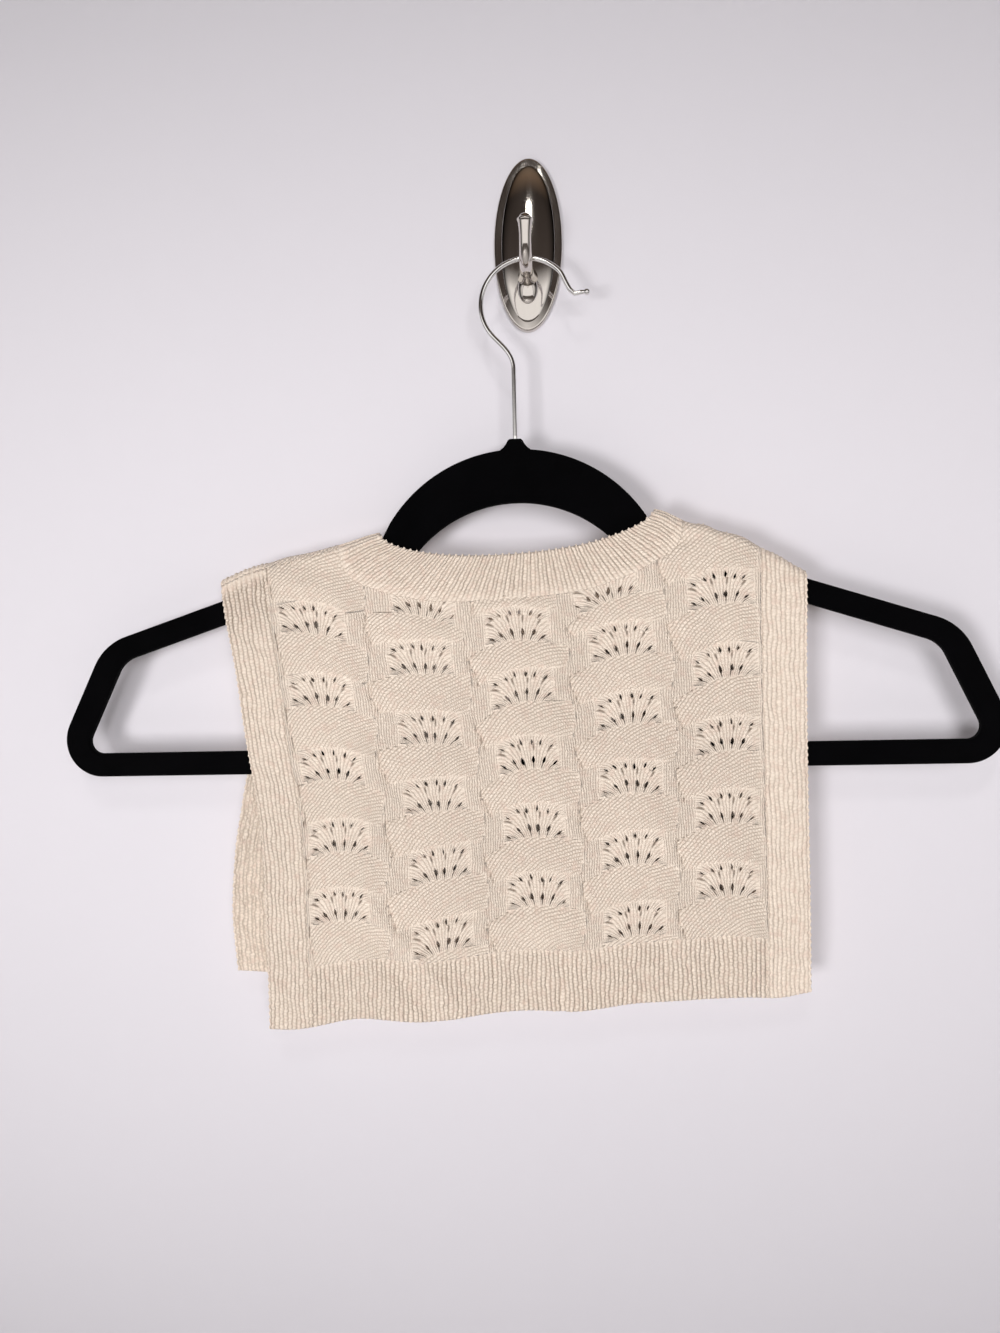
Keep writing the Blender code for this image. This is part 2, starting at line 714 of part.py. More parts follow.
def cloth_wall(name, blocks, outline, point, relief, plain_columns, plain_rows, parts, around=None):
    """A closed wall of cloth: raised outer points over a plain, coarser inside.

    blocks are the grid's (first column, last column, first row, last row), the outline
    is a list of straight runs between grid places, and point(column, row, lift) gives a
    place in space. The inside keeps only the plain columns and rows. A ring has its
    number of columns as around.
    """
    solid = bmesh.new()
    half = CLOTH_WALL / 2
    outer, inner = {}, {}

    def corner(grid, column, row):
        key = (column % around if around else column, row)
        if key not in grid:
            lift = half + relief(key[0], row) if grid is outer else -half
            grid[key] = solid.verts.new(point(key[0], row, lift))
        return grid[key]

    for first, last, low, high in blocks:
        for grid, columns, rows in (
                (outer, list(range(first, last + 1)), list(range(low, high + 1))),
                (inner, [c for c in plain_columns if first <= c <= last],
                 [r for r in plain_rows if low <= r <= high])):
            for c0, c1 in zip(columns, columns[1:]):
                for r0, r1 in zip(rows, rows[1:]):
                    solid.faces.new((corner(grid, c0, r0), corner(grid, c1, r0),
                                     corner(grid, c1, r1), corner(grid, c0, r1)))
    for start, end in outline:
        keys = run_keys(start, end)
        fine = [corner(outer, *key) for key in keys]
        coarse = [(mark, corner(inner, *key)) for mark, key in enumerate(keys)
                  if key[0] in plain_columns and key[1] in plain_rows]
        zip_rim(solid, fine, coarse)
    return mesh_object(name, solid, parts)


def every(count, step):
    """Every so many of the numbers up to count, with the last one always there."""
    return sorted(set(range(0, count, step)) | {count})


def spread(low, high, steps):
    return [low + (high - low) * i / steps for i in range(steps + 1)]


def plain_panel_rows():
    """The rows that a panel's inside keeps: few on its flat body, all round the fold."""
    return every(BODY_ROWS, PLAIN_ROW_STEP) + list(range(BODY_ROWS + 1, BODY_ROWS + SHOULDER_ROWS + 1))


def box_outline(last_column, last_row):
    corners = [(0, 0), (last_column, 0), (last_column, last_row), (0, last_row), (0, 0)]
    return list(zip(corners, corners[1:]))


def rib_relief(column, _row):
    """Ribs: every other column of points stands out."""
    return RIB_RISE if column % 2 else 0.0


def lace_relief(panel, across, up):
    """Shells stand out in half-drop columns, with a low smooth strip between columns."""
    column = round((across - LACE_FIRST) / LACE_PITCH)
    column = min(max(column, 0), LACE_COLUMNS - 1)
    sideways = (across - LACE_FIRST) / LACE_PITCH - column
    from_middle = (across - 0.5) / ROW_SAG_REACH
    row_height = LACE_ROW * (ROW_STRETCH - ROW_SAG * max(0.0, 1 - from_middle ** 2))
    drop = 0.5 if column % 2 else 0.0
    rows_up = (up - LACE_BASE) / row_height + drop
    within = (rows_up - SHELL_CENTRE + 0.5) % 1.0 - 0.5
    arched = within + SHELL_ARCH * (sideways / SHELL_HALF_WIDTH) ** 2
    round_off = 1 - (sideways / SHELL_HALF_WIDTH) ** 2 - (arched / SHELL_HALF_HEIGHT) ** 2
    if round_off > 0:
        return SHELL_RISE * math.sqrt(round_off)
    if abs(sideways) > SHELL_HALF_WIDTH:
        return STRIP_RISE
    return 0.0


def make_lace_panel(grid, parts, material, parent):
    """The lace ground of one panel, with a shoulder on each side of the neck."""
    panel = grid.panel
    last, body, top = len(grid.columns) - 1, BODY_ROWS, BODY_ROWS + SHOULDER_ROWS
    left, right = SHOULDER_COLUMNS, len(grid.columns) - 1 - SHOULDER_COLUMNS
    hem_seam = SEAM_GAP / LACE_HEIGHT

    def row_share(row):
        if row <= body:
            return hem_seam + (1 - hem_seam) * row / body
        return 1 + (row - body) / SHOULDER_ROWS

    def point(column, row, lift):
        share = row_share(row)
        across = grid.across(column, share)
        return panel_point(panel, across, grid.down(grid.columns[column], share), lift)

    def relief(column, row):
        on_rim = row in (0, top) or column in (0, last) or (row == body and left < column < right)
        beside_neck = row >= body and column in (left, right)
        if on_rim or beside_neck:
            return 0.0
        share = row_share(row)
        down = grid.down(grid.columns[column], share)
        across = grid.across(column, share)
        return lace_relief(panel, across, grid.hem_top(across) - down)

    blocks = [(0, last, 0, body), (0, left, body, top), (right, last, body, top)]
    corners = [(0, 0), (last, 0), (last, top), (right, top), (right, body), (left, body),
               (left, top), (0, top), (0, 0)]
    runs = list(zip(corners, corners[1:]))
    thing = cloth_wall(f"{panel.name}_panel", blocks, runs, point, relief,
                       list(range(last + 1)), plain_panel_rows(), parts)
    finish(thing, material, parent)


def make_border(grid, low, name, parts, material, parent):
    """A ribbed side border, from the hem's edge to the shoulder seam."""
    columns = spread(low, low + BORDER_SHARE, BORDER_RIBS * 2)
    shares = ([row / HEM_ROWS - 1 for row in range(HEM_ROWS)] + spread(0.0, 1.0, BODY_ROWS)
              + spread(1.0, 2.0, SHOULDER_ROWS)[1:])

    def point(column, row, lift):
        across = columns[column]
        return panel_point(grid.panel, across, grid.down(across, shares[row]), lift)

    last_column, last_row = len(columns) - 1, len(shares) - 1
    inside_rows = [0] + [HEM_ROWS + row for row in plain_panel_rows()]
    block, runs = (0, last_column, 0, last_row), box_outline(last_column, last_row)
    border = cloth_wall(name, [block], runs, point,
                        rib_relief, every(last_column, PLAIN_BORDER_STEP), inside_rows, parts)
    finish(border, material, parent)


def make_hem(grid, parts, material, parent):
    """The ribbed hem between the two side borders."""
    panel = grid.panel
    width = panel_x(panel, grid.high, 1.0) - panel_x(panel, grid.low, 1.0)
    last = 2 * round(width / HEM_RIB_PITCH)
    columns = spread(grid.low, grid.high, last)

    def point(column, row, lift):
        across = columns[column]
        return panel_point(panel, across, grid.down(across, row / HEM_ROWS - 1), lift)

    block, runs = (0, last, 0, HEM_ROWS), box_outline(last, HEM_ROWS)
    hem = cloth_wall(f"{panel.name}_hem", [block], runs, point,
                     rib_relief, every(last, PLAIN_HEM_STEP), list(range(HEM_ROWS + 1)), parts)
    finish(hem, material, parent)


def neck_half(edge, side):
    """Dense points (x, way down) of half a neck edge, from the left shoulder to the right."""
    middle, half = (edge.left + edge.right) / 2, (edge.right - edge.left) / 2
    depth = edge.drop_back if side < 0 else edge.drop_front
    points = []
    for step in range(CURVE_SAMPLES + 1):
        angle = math.pi * (1 - step / CURVE_SAMPLES)
        across = math.copysign(abs(math.cos(angle)) ** (2 / edge.power), math.cos(angle))
        down = depth * abs(math.sin(angle)) ** (2 / edge.power)
        points.append(Vector((middle + half * across, down)))
    return points


def even_points(points, count):
    """Points evenly spaced along a line: count steps, with both ends."""
    reach = [0.0]
    for before, after in zip(points, points[1:]):
        reach.append(reach[-1] + (after - before).length)
    result, i = [], 0
    for step in range(count + 1):
        goal = reach[-1] * step / count
        while i < len(points) - 2 and reach[i + 1] < goal:
            i += 1
        span = max(reach[i + 1] - reach[i], 1e-12)
        result.append(points[i].lerp(points[i + 1], min(1.0, (goal - reach[i]) / span)))
    return result


def make_neckband(parts, material, parent):
    """The ribbed neckband: one ring, over the hanger at both shoulders."""
    stations = []
    for side in (-1, 1):
        free, sewn = neck_half(NECK_FREE_EDGE, side), neck_half(NECK_SEWN_EDGE, side)
        middle = [(a + b) / 2 for a, b in zip(free, sewn)]
        length = sum((b - a).length for a, b in zip(middle, middle[1:]))
        steps = 2 * round(length / NECK_RIB_PITCH)
        pairs = list(zip(even_points(free, steps), even_points(sewn, steps)))
        if side > 0:
            pairs.reverse()
        stations += [(side, a, b) for a, b in pairs[:-1]]
    count = len(stations)

    def point(column, row, lift):
        side, free, sewn = stations[column]
        place = free.lerp(sewn, row / NECKBAND_ROWS)
        return cloth_point(side, place.x, place.y, lift)

    runs = [((0, 0), (count, 0)), ((0, NECKBAND_ROWS), (count, NECKBAND_ROWS))]
    band = cloth_wall("neckband", [(0, count, 0, NECKBAND_ROWS)], runs, point, rib_relief,
                      list(range(0, count + 1, 2)), list(range(NECKBAND_ROWS + 1)), parts, count)
    finish(band, material, parent)


def main():
    clear_scene()
    parts = make_collection("shell_lace_vest_on_hanger")
    guides = make_collection("guides")

    knit = make_material("oatmeal_knit", (0.70, 0.61, 0.50), 0.9, 0.0)
    flock = make_material("black_flock", (0.006, 0.006, 0.007), 0.95, 0.0)
    wire = make_material("bright_wire", (0.72, 0.72, 0.72), 0.18, 1.0)
    nickel = make_material("brushed_nickel", (0.50, 0.46, 0.42), 0.3, 1.0)

    tilt = bpy.data.objects.new("hanging_place", None)
    tilt.location = HANGER_FOOT
    tilt.rotation_euler = (0.0, -HANGER_TILT, 0.0)
    parts.objects.link(tilt)

    make_wall_hook(parts, guides, nickel)
    make_wire(parts, wire, tilt)
    make_hanger(parts, guides, flock, tilt)
    for panel in (BACK_PANEL, FRONT_PANEL):
        grid = ClothGrid(panel)
        make_lace_panel(grid, parts, knit, tilt)
        make_hem(grid, parts, knit, tilt)
        make_border(grid, 0.0, f"{panel.name}_left_border", parts, knit, tilt)
        make_border(grid, 1 - BORDER_SHARE, f"{panel.name}_right_border", parts, knit, tilt)
    make_neckband(parts, knit, tilt)


main()
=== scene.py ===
"""Finish and fine form of a shell-lace knitted vest on a flocked hanger, hung from a wall hook.

Metres, +Z up. The wall is the plane y = 0. The cloth, the hanger and the wire are shaped in
the hanger's own frame, whose origin is the foot of the wire hook, and are then tilted and
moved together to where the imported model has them.
"""
import logging
import math
import random
from collections.abc import Sequence
from dataclasses import dataclass, field
from enum import Enum

import bmesh
import bpy
import numpy as np
from mathutils import Matrix, Vector


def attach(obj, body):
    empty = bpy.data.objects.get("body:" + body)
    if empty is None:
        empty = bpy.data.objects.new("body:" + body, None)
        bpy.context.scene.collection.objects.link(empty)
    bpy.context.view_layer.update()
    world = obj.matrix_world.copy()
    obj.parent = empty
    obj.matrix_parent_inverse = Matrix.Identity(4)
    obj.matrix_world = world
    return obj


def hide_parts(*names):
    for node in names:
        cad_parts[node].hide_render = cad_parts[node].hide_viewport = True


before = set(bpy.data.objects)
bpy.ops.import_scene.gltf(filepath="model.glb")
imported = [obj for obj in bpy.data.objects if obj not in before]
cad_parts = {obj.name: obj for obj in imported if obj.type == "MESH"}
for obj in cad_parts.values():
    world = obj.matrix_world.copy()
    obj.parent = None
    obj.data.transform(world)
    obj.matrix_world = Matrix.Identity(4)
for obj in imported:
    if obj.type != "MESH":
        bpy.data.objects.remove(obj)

LOG = logging.getLogger("vest")
MM = 0.001
BODY = "root"
TURN = 2 * math.pi
HANGER_PLACE = Matrix.Translation(Vector((-5.2, -22.5, -103.25)) * MM) @ Matrix.Rotation(
    math.radians(-1.3), 4, "Y")

Colour = tuple[float, float, float]
Socket = bpy.types.NodeSocket
STITCH_PLACES = ("Knit", "Fan", "Purl", "Crease")


class Side(Enum):
    """Which panel of the vest: the back one faces the room."""

    BACK = -1
    FRONT = 1


class Edge(Enum):
    """Which side border of a panel."""

    LEFT = 0
    RIGHT = 1


def smooth_step(low: float, high: float, at: np.ndarray) -> np.ndarray:
    """Rise smoothly from 0 at low to 1 at high."""
    share = np.clip((at - low) / (high - low), 0.0, 1.0)
    return share * share * (3 - 2 * share)


def bell(at: np.ndarray, width: float) -> np.ndarray:
    """A soft bump around 0."""
    return np.exp(-(at / width) ** 2)


@dataclass
class SmoothTable:
    """A smooth curve through a short table of rows."""

    keys: Sequence[float]
    values: Sequence[float]

    def __post_init__(self) -> None:
        """Work out the curve's slope at each row."""
        slopes = np.diff(self.values) / np.diff(self.keys)
        inner = [0.0 if a * b <= 0 else 2 * a * b / (a + b) for a, b in zip(slopes, slopes[1:])]
        self.slopes = np.array([slopes[0], *inner, slopes[-1]])

    def __call__(self, at: np.ndarray) -> np.ndarray:
        """Read the curve.

        Args:
            at: places along the table's keys, held inside its ends.

        Returns:
            The value at each place.
        """
        keys, values = np.asarray(self.keys, float), np.asarray(self.values, float)
        at = np.clip(at, keys[0], keys[-1])
        low = np.clip(np.searchsorted(keys, at, "right") - 1, 0, len(keys) - 2)
        span = keys[low + 1] - keys[low]
        t = (at - keys[low]) / span
        rise = 3 * t * t - 2 * t ** 3
        out, back = t ** 3 - 2 * t * t + t, t ** 3 - t * t
        return ((1 - rise) * values[low] + rise * values[low + 1]
                + span * (out * self.slopes[low] + back * self.slopes[low + 1]))


# Nodes


class Graph:
    """Short ways to add and join the nodes of one tree."""

    def __init__(self, tree: bpy.types.NodeTree) -> None:
        """Keep the tree that the nodes go into."""
        self.tree = tree

    def add(self, kind: str, **settings: object) -> bpy.types.Node:
        """Add a node and set its properties."""
        node = self.tree.nodes.new(kind)
        for name, value in settings.items():
            setattr(node, name, value)
        return node

    def put(self, value: object, socket: Socket) -> None:
        """Link a socket to an input, or set the input's own value."""
        if isinstance(value, bpy.types.NodeSocket):
            self.tree.links.new(value, socket)
        else:
            socket.default_value = value

    def math(self, operation: str, *values: object) -> Socket:
        """Add a math node and give its result."""
        node = self.add("ShaderNodeMath", operation=operation)
        for value, socket in zip(values, node.inputs):
            self.put(value, socket)
        return node.outputs[0]

    def split(self, vector: Socket) -> list[Socket]:
        """Take a vector's three parts."""
        node = self.add("ShaderNodeSeparateXYZ")
        self.put(vector, node.inputs[0])
        return list(node.outputs)

    def mix(self, share: object, low: object, high: object) -> Socket:
        """Mix two colours by a share."""
        node = self.add("ShaderNodeMix", data_type="RGBA")
        self.put(share, node.inputs[0])
        self.put(low, node.inputs[6])
        self.put(high, node.inputs[7])
        return node.outputs[2]

    def blend(self, share: object, low: object, high: object) -> Socket:
        """Mix two values by a share."""
        node = self.add("ShaderNodeMix", data_type="FLOAT")
        for value, place in ((share, 0), (low, 2), (high, 3)):
            self.put(value, node.inputs[place])
        return node.outputs[0]

    def noise(self, where: Socket, scale: float, detail: float = 2.0) -> Socket:
        """Add even noise of a size and give its value."""
        node = self.add("ShaderNodeTexNoise")
        self.put(where, node.inputs["Vector"])
        node.inputs["Scale"].default_value = scale
        node.inputs["Detail"].default_value = detail
        return node.outputs["Fac"]

    def spread(self, value: object, low: float, high: float, to_low: float, to_high: float) -> Socket:
        """Map a range of values to another, held at its ends."""
        node = self.add("ShaderNodeMapRange")
        for item, socket in zip((value, low, high, to_low, to_high), node.inputs):
            self.put(item, socket)
        return node.outputs["Result"]

    def bump(self, height: Socket, distance: float, strength: float = 1.0) -> Socket:
        """Turn a height into a normal."""
        node = self.add("ShaderNodeBump")
        node.inputs["Distance"].default_value = distance
        node.inputs["Strength"].default_value = strength
        self.put(height, node.inputs["Height"])
        return node.outputs["Normal"]

    def object_place(self) -> Socket:
        """The place on the object, in metres."""
        return self.add("ShaderNodeTexCoord").outputs["Object"]


def effect_group(name: str, takes: Sequence[tuple[str, str]], gives: Sequence[tuple[str, str]]
                 ) -> tuple[bpy.types.NodeTree, bpy.types.Node, bpy.types.Node]:
    """Start a shader group.

    Args:
        name: the group's name.
        takes: its inputs, as names and socket kinds.
        gives: its outputs, as names and socket kinds.

    Returns:
        The group, its input node and its output node.
    """
    tree = bpy.data.node_groups.new(name, "ShaderNodeTree")
    for names, way in ((takes, "INPUT"), (gives, "OUTPUT")):
        for title, kind in names:
            tree.interface.new_socket(name=title, in_out=way, socket_type=f"NodeSocket{kind}")
    return tree, tree.nodes.new("NodeGroupInput"), tree.nodes.new("NodeGroupOutput")


def stitch_group() -> bpy.types.NodeTree:
    """The height of single stitches, and how much painted shade lies in creases, eyelet tails and grooves
    between rows.

    Returns:
        A group that reads four places on the cloth: Knit has the wale, the course and the share
        of fan; Fan has the strands of its two arcs and the share of the upper one; Purl has the
        place along a row, the row and the share of purl; Crease has the way to the nearest fold
        in millimetres, the share of eyelet tails and the share of grooves between rows. Chance
        differs from stitch to stitch.
    """
    tree, given, out = effect_group(
        "stitch_height", [(name, "Vector") for name in STITCH_PLACES],
        [("Height", "Float"), ("Crevice", "Float"), ("Chance", "Float")])
    graph = Graph(tree)
    knit, fan, purl, crease = (graph.split(given.outputs[name]) for name in STITCH_PLACES)
    drift = graph.add("ShaderNodeTexNoise")
    graph.put(graph.object_place(), drift.inputs["Vector"])
    drift.inputs["Scale"].default_value = 430.0
    drift.inputs["Detail"].default_value = 1.0
    loose = [graph.math("SUBTRACT", part, 0.5) for part in graph.split(drift.outputs["Color"])]

    def uneven(place: Socket, part: int, amount: float) -> Socket:
        """Shift a stitch place by an uneven amount."""
        return graph.math("MULTIPLY_ADD", loose[part], amount, place)

    def leg(wale: Socket) -> tuple[Socket, Socket]:
        """The two legs of a wale, and the way from its middle."""
        off_middle = graph.math("ABSOLUTE", graph.math("SUBTRACT", graph.math("FRACT", wale), 0.5))
        return graph.math("SINE", graph.math("MULTIPLY", off_middle, TURN)), off_middle

    def chance(across: Socket, along: Socket) -> Socket:
        """Draw a number of its own for each stitch.

        Args:
            across: the place across, counted in wales.
            along: the place along, counted in courses.

        Returns:
            The number, from 0 to 1.
        """
        cell = graph.add("ShaderNodeCombineXYZ")
        graph.put(graph.math("FLOOR", across), cell.inputs[0])
        graph.put(graph.math("FLOOR", along), cell.inputs[1])
        white = graph.add("ShaderNodeTexWhiteNoise")
        graph.put(cell.outputs[0], white.inputs["Vector"])
        return white.outputs["Value"]

    wale, course = uneven(knit[0], 0, 0.42), uneven(knit[1], 1, 0.7)
    knit_leg, off_middle = leg(wale)
    slanted = graph.math("FRACT", graph.math("MULTIPLY_ADD", off_middle, 1.7, course))
    strand = graph.math("SINE", graph.math("MULTIPLY", slanted, math.pi))
    knit_chance = chance(graph.math("MULTIPLY", wale, 2.0), course)
    knit_height = graph.math("MULTIPLY", knit_leg, graph.math("MULTIPLY_ADD", strand, 0.5, 0.5))

    beads = graph.math("SINE", graph.math("MULTIPLY", graph.math("FRACT", course), math.pi))
    fan_leg = graph.blend(fan[2], leg(uneven(fan[0], 0, 0.3))[0], leg(uneven(fan[1], 0, 0.3))[0])
    fan_height = graph.math("MULTIPLY_ADD", fan_leg, graph.math("MULTIPLY_ADD", beads, 0.45, 0.4), 0.1)

    row, place = uneven(purl[1], 2, 0.55), uneven(purl[0], 0, 0.8)
    along = graph.math("MULTIPLY_ADD", graph.math("FLOOR", row), 0.5, place)
    rounded = graph.math("SINE", graph.math("MULTIPLY", graph.math("FRACT", row), math.pi))
    head = graph.math("SINE", graph.math("MULTIPLY", graph.math("FRACT", along), math.pi))
    purl_chance = chance(row, along)
    purl_height = graph.math("MULTIPLY", rounded, graph.math("MULTIPLY_ADD", head, 0.7, 0.3))

    single = graph.blend(purl[2], knit_chance, purl_chance)
    graph.put(single, out.inputs["Chance"])
    plain = graph.blend(knit[2], knit_height, fan_height)
    height = graph.blend(purl[2], plain, purl_height)
    own_height = graph.math("MULTIPLY_ADD", single, 0.5, 0.75)
    graph.put(graph.math("MULTIPLY", height, own_height), out.inputs["Height"])

    # Painted shade: the share of dark colour along folds and dome edges, in eyelet tails and in the grooves
    # between rows, where real shade would fall.
    fold = graph.spread(graph.math("ABSOLUTE", crease[0]), 0.0, 0.5, 1.0, 0.0)
    half = graph.math("MULTIPLY", graph.blend(fan[2], fan[0], fan[1]), 0.5)
    off_tail = graph.math("ABSOLUTE", graph.math("SUBTRACT", graph.math("FRACT", half), 0.5))
    tail = graph.math("MULTIPLY", graph.spread(off_tail, 0.0, 0.09, 1.0, 0.0), crease[1])
    off_row = graph.math("ABSOLUTE", graph.math("SUBTRACT", graph.math("FRACT", row), 0.5))
    patchy = chance(graph.math("ADD", row, 0.5), graph.math("MULTIPLY", place, 0.3))
    deep = graph.math("MULTIPLY", graph.math("MULTIPLY_ADD", patchy, 0.6, 0.4), crease[2])
    groove = graph.math("MULTIPLY", graph.spread(off_row, 0.33, 0.5, 0.0, 1.0), deep)
    graph.put(graph.math("MAXIMUM", graph.math("MAXIMUM", fold, tail), groove), out.inputs["Crevice"])
    return tree


def grain_group() -> bpy.types.NodeTree:
    """Fine brushed or pressed grain, for metal and paint.

    Returns:
        A group whose grain is stretched by a scale for each direction.
    """
    tree, given, out = effect_group("surface_grain", [("Stretch", "Vector")], [("Grain", "Float")])
    graph = Graph(tree)
    mapping = graph.add("ShaderNodeMapping")
    graph.put(graph.object_place(), mapping.inputs["Vector"])
    graph.put(given.outputs["Stretch"], mapping.inputs["Scale"])
    graph.put(graph.noise(mapping.outputs["Vector"], 1.0, 3.0), out.inputs["Grain"])
    return tree


@dataclass(frozen=True)
class KnitFinish:
    """Heathered oatmeal yarn, seen stitch by stitch."""

    name: str
    # light is the yarn's colour on raised stitches; shade is the painted shade in their hollows.
    light: Colour = (0.865, 0.755, 0.645)
    shade: Colour = (0.56, 0.455, 0.365)
    # The painted shade colour for creases, eyelet tails and grooves between rows.
    crevice: Colour = (0.19, 0.135, 0.095)
    fleck: Colour = (0.74, 0.575, 0.48)
    stitch_depth: float = 0.5 * MM
    hollow: float = 0.55
    # How strongly the painted crease shade shows.
    crease_shade_strength: float = 0.85

    def make(self, stitches: bpy.types.NodeTree) -> bpy.types.Material:
        """Build the material.

        Args:
            stitches: the shared stitch group.

        Returns:
            The material, which reads the cloth's own stitch places.
        """
        material = bpy.data.materials.new(self.name)
        material.use_nodes = True
        graph = Graph(material.node_tree)
        shader = material.node_tree.nodes["Principled BSDF"]
        group = graph.add("ShaderNodeGroup", node_tree=stitches)
        for name in STITCH_PLACES:
            attribute = graph.add("ShaderNodeAttribute", attribute_name=name.lower())
            graph.put(attribute.outputs["Vector"], group.inputs[name])
        place = graph.object_place()
        fibre = graph.noise(place, 2600.0, 3.0)
        patch = graph.noise(place, 300.0, 3.0)
        broad = graph.noise(place, 16.0, 1.0)
        # Painted shade: the stitch hollows take the darker shade colour.
        raised = graph.spread(group.outputs["Height"], 0.0, self.hollow, 0.0, 1.0)
        colour = graph.mix(raised, (*self.shade, 1.0), (*self.light, 1.0))
        flecks = graph.spread(patch, 0.50, 0.72, 0.0, 0.55)
        colour = graph.mix(flecks, colour, (*self.fleck, 1.0))
        # Painted shade in creases, eyelet tails and grooves between rows.
        crease_shade_share = graph.math("MULTIPLY", group.outputs["Crevice"], self.crease_shade_strength)
        colour = graph.mix(crease_shade_share, colour, (*self.crevice, 1.0))
        tone = graph.math("MULTIPLY_ADD", fibre, 0.34, graph.math("MULTIPLY_ADD", broad, 0.14, 0.72))
        tone = graph.math("MULTIPLY_ADD", group.outputs["Chance"], 0.1, tone)
        scaled = graph.add("ShaderNodeVectorMath", operation="SCALE")
        graph.put(colour, scaled.inputs[0])
        graph.put(tone, scaled.inputs["Scale"])
        graph.put(scaled.outputs[0], shader.inputs["Base Color"])
        height = graph.math("MULTIPLY_ADD", fibre, 0.35, group.outputs["Height"])
        height = graph.math("MULTIPLY_ADD", group.outputs["Crevice"], -0.8, height)
        graph.put(graph.bump(height, self.stitch_depth), shader.inputs["Normal"])
        shader.inputs["Roughness"].default_value = 0.92
        shader.inputs["Specular IOR Level"].default_value = 0.2
        shader.inputs["Sheen Weight"].default_value = 0.2
        shader.inputs["Sheen Roughness"].default_value = 0.45
        return material


@dataclass(frozen=True)
class FlockFinish:
    """Short black flock over a moulded frame."""

    name: str = "black_flock"
    deep: Colour = (0.0010, 0.0010, 0.0012)
    worn: Colour = (0.0026, 0.0025, 0.0030)

    def make(self) -> bpy.types.Material:
        """Build the material.

        Returns:
            The flock finish.
        """
        material = bpy.data.materials.new(self.name)
        material.use_nodes = True
        graph = Graph(material.node_tree)
        shader = material.node_tree.nodes["Principled BSDF"]
        place = graph.object_place()
        nap = graph.noise(place, 3200.0, 4.0)
        drift = graph.noise(place, 55.0, 2.0)
        graph.put(graph.mix(drift, (*self.deep, 1.0), (*self.worn, 1.0)), shader.inputs["Base Color"])
        graph.put(graph.bump(nap, 0.15 * MM, 0.6), shader.inputs["Normal"])
        graph.put(graph.spread(nap, 0.3, 0.7, 0.86, 1.0), shader.inputs["Roughness"])
        shader.inputs["Specular IOR Level"].default_value = 0.03
        shader.inputs["Sheen Weight"].default_value = 0.012
        shader.inputs["Sheen Roughness"].default_value = 0.5
        return material


@dataclass(frozen=True)
class MetalFinish:
    """Plated or brushed metal with its own grain."""

    name: str
    light: Colour
    dark: Colour
    rough_low: float
    rough_high: float
    stretch: tuple[float, float, float]
    depth: float

    def make(self, grain: bpy.types.NodeTree) -> bpy.types.Material:
        """Build the material.

        Args:
            grain: the shared grain group.

        Returns:
            The material.
        """
        material = bpy.data.materials.new(self.name)
        material.use_nodes = True
        graph = Graph(material.node_tree)
        shader = material.node_tree.nodes["Principled BSDF"]
        group = graph.add("ShaderNodeGroup", node_tree=grain)
        group.inputs["Stretch"].default_value = self.stretch
        marks = group.outputs["Grain"]
        graph.put(graph.mix(marks, (*self.dark, 1.0), (*self.light, 1.0)), shader.inputs["Base Color"])
        rough = graph.spread(marks, 0.35, 0.65, self.rough_low, self.rough_high)
        graph.put(rough, shader.inputs["Roughness"])
        graph.put(graph.bump(marks, self.depth, 0.5), shader.inputs["Normal"])
        shader.inputs["Metallic"].default_value = 1.0
        return material


# Meshes


def add_piece(name: str, mesh: bpy.types.Mesh, material: bpy.types.Material,
              nodes: Sequence[str] = ()) -> bpy.types.Object:
    """Put a finished mesh in the scene, on the part's body.

    Args:
        name: the piece's name.
        mesh: its mesh, in the row frame.
        material: its material.
        nodes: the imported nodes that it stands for.

    Returns:
        The new object.
    """
    mesh.name = name
    mesh.materials.clear()
    mesh.materials.append(material)
    mesh.shade_smooth()
    piece = bpy.data.objects.new(name, mesh)
    bpy.context.scene.collection.objects.link(piece)
    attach(piece, BODY)
    if nodes:
        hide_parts(*nodes)
    LOG.info("%s: %d faces", name, len(mesh.polygons))
    return piece


def curve_mesh(curve: bpy.types.Curve, place: Matrix) -> bpy.types.Mesh:
    """Make a curve a closed mesh.

    Args:
        curve: the curve's data, with its bevel and caps.
        place: where the curve goes.

    Returns:
        The mesh, with its caps welded on.
    """
    holder = bpy.data.objects.new("curve_holder", curve)
    bpy.context.scene.collection.objects.link(holder)
    bpy.context.view_layer.update()
    evaluated = holder.evaluated_get(bpy.context.evaluated_depsgraph_get())
    mesh = bpy.data.meshes.new_from_object(evaluated)
    bpy.data.objects.remove(holder, do_unlink=True)
    mesh.transform(place)
    solid = bmesh.new()
    solid.from_mesh(mesh)
    bmesh.ops.remove_doubles(solid, verts=solid.verts, dist=0.01 * MM)
    bmesh.ops.recalc_face_normals(solid, faces=solid.faces)
    solid.to_mesh(mesh)
    solid.free()
    return mesh


def round_corner(before: Vector, corner: Vector, after: Vector, radius: float, steps: int) -> list[Vector]:
    """Round a corner between two straight runs.

    Args:
        before: the point before the corner.
        corner: the corner.
        after: the point after it.
        radius: the arc's radius.
        steps: how many steps the arc has.

    Returns:
        The arc's points.
    """
    into, out = (before - corner).normalized(), (after - corner).normalized()
    half = into.angle(out) / 2
    centre = corner + (into + out).normalized() * (radius / math.sin(half))
    start = corner + into * (radius / math.tan(half)) - centre
    end = corner + out * (radius / math.tan(half)) - centre
    turn = math.atan2(start.x * end.y - start.y * end.x, start.dot(end))
    return [centre + Matrix.Rotation(turn * i / steps, 2) @ start for i in range(steps + 1)]


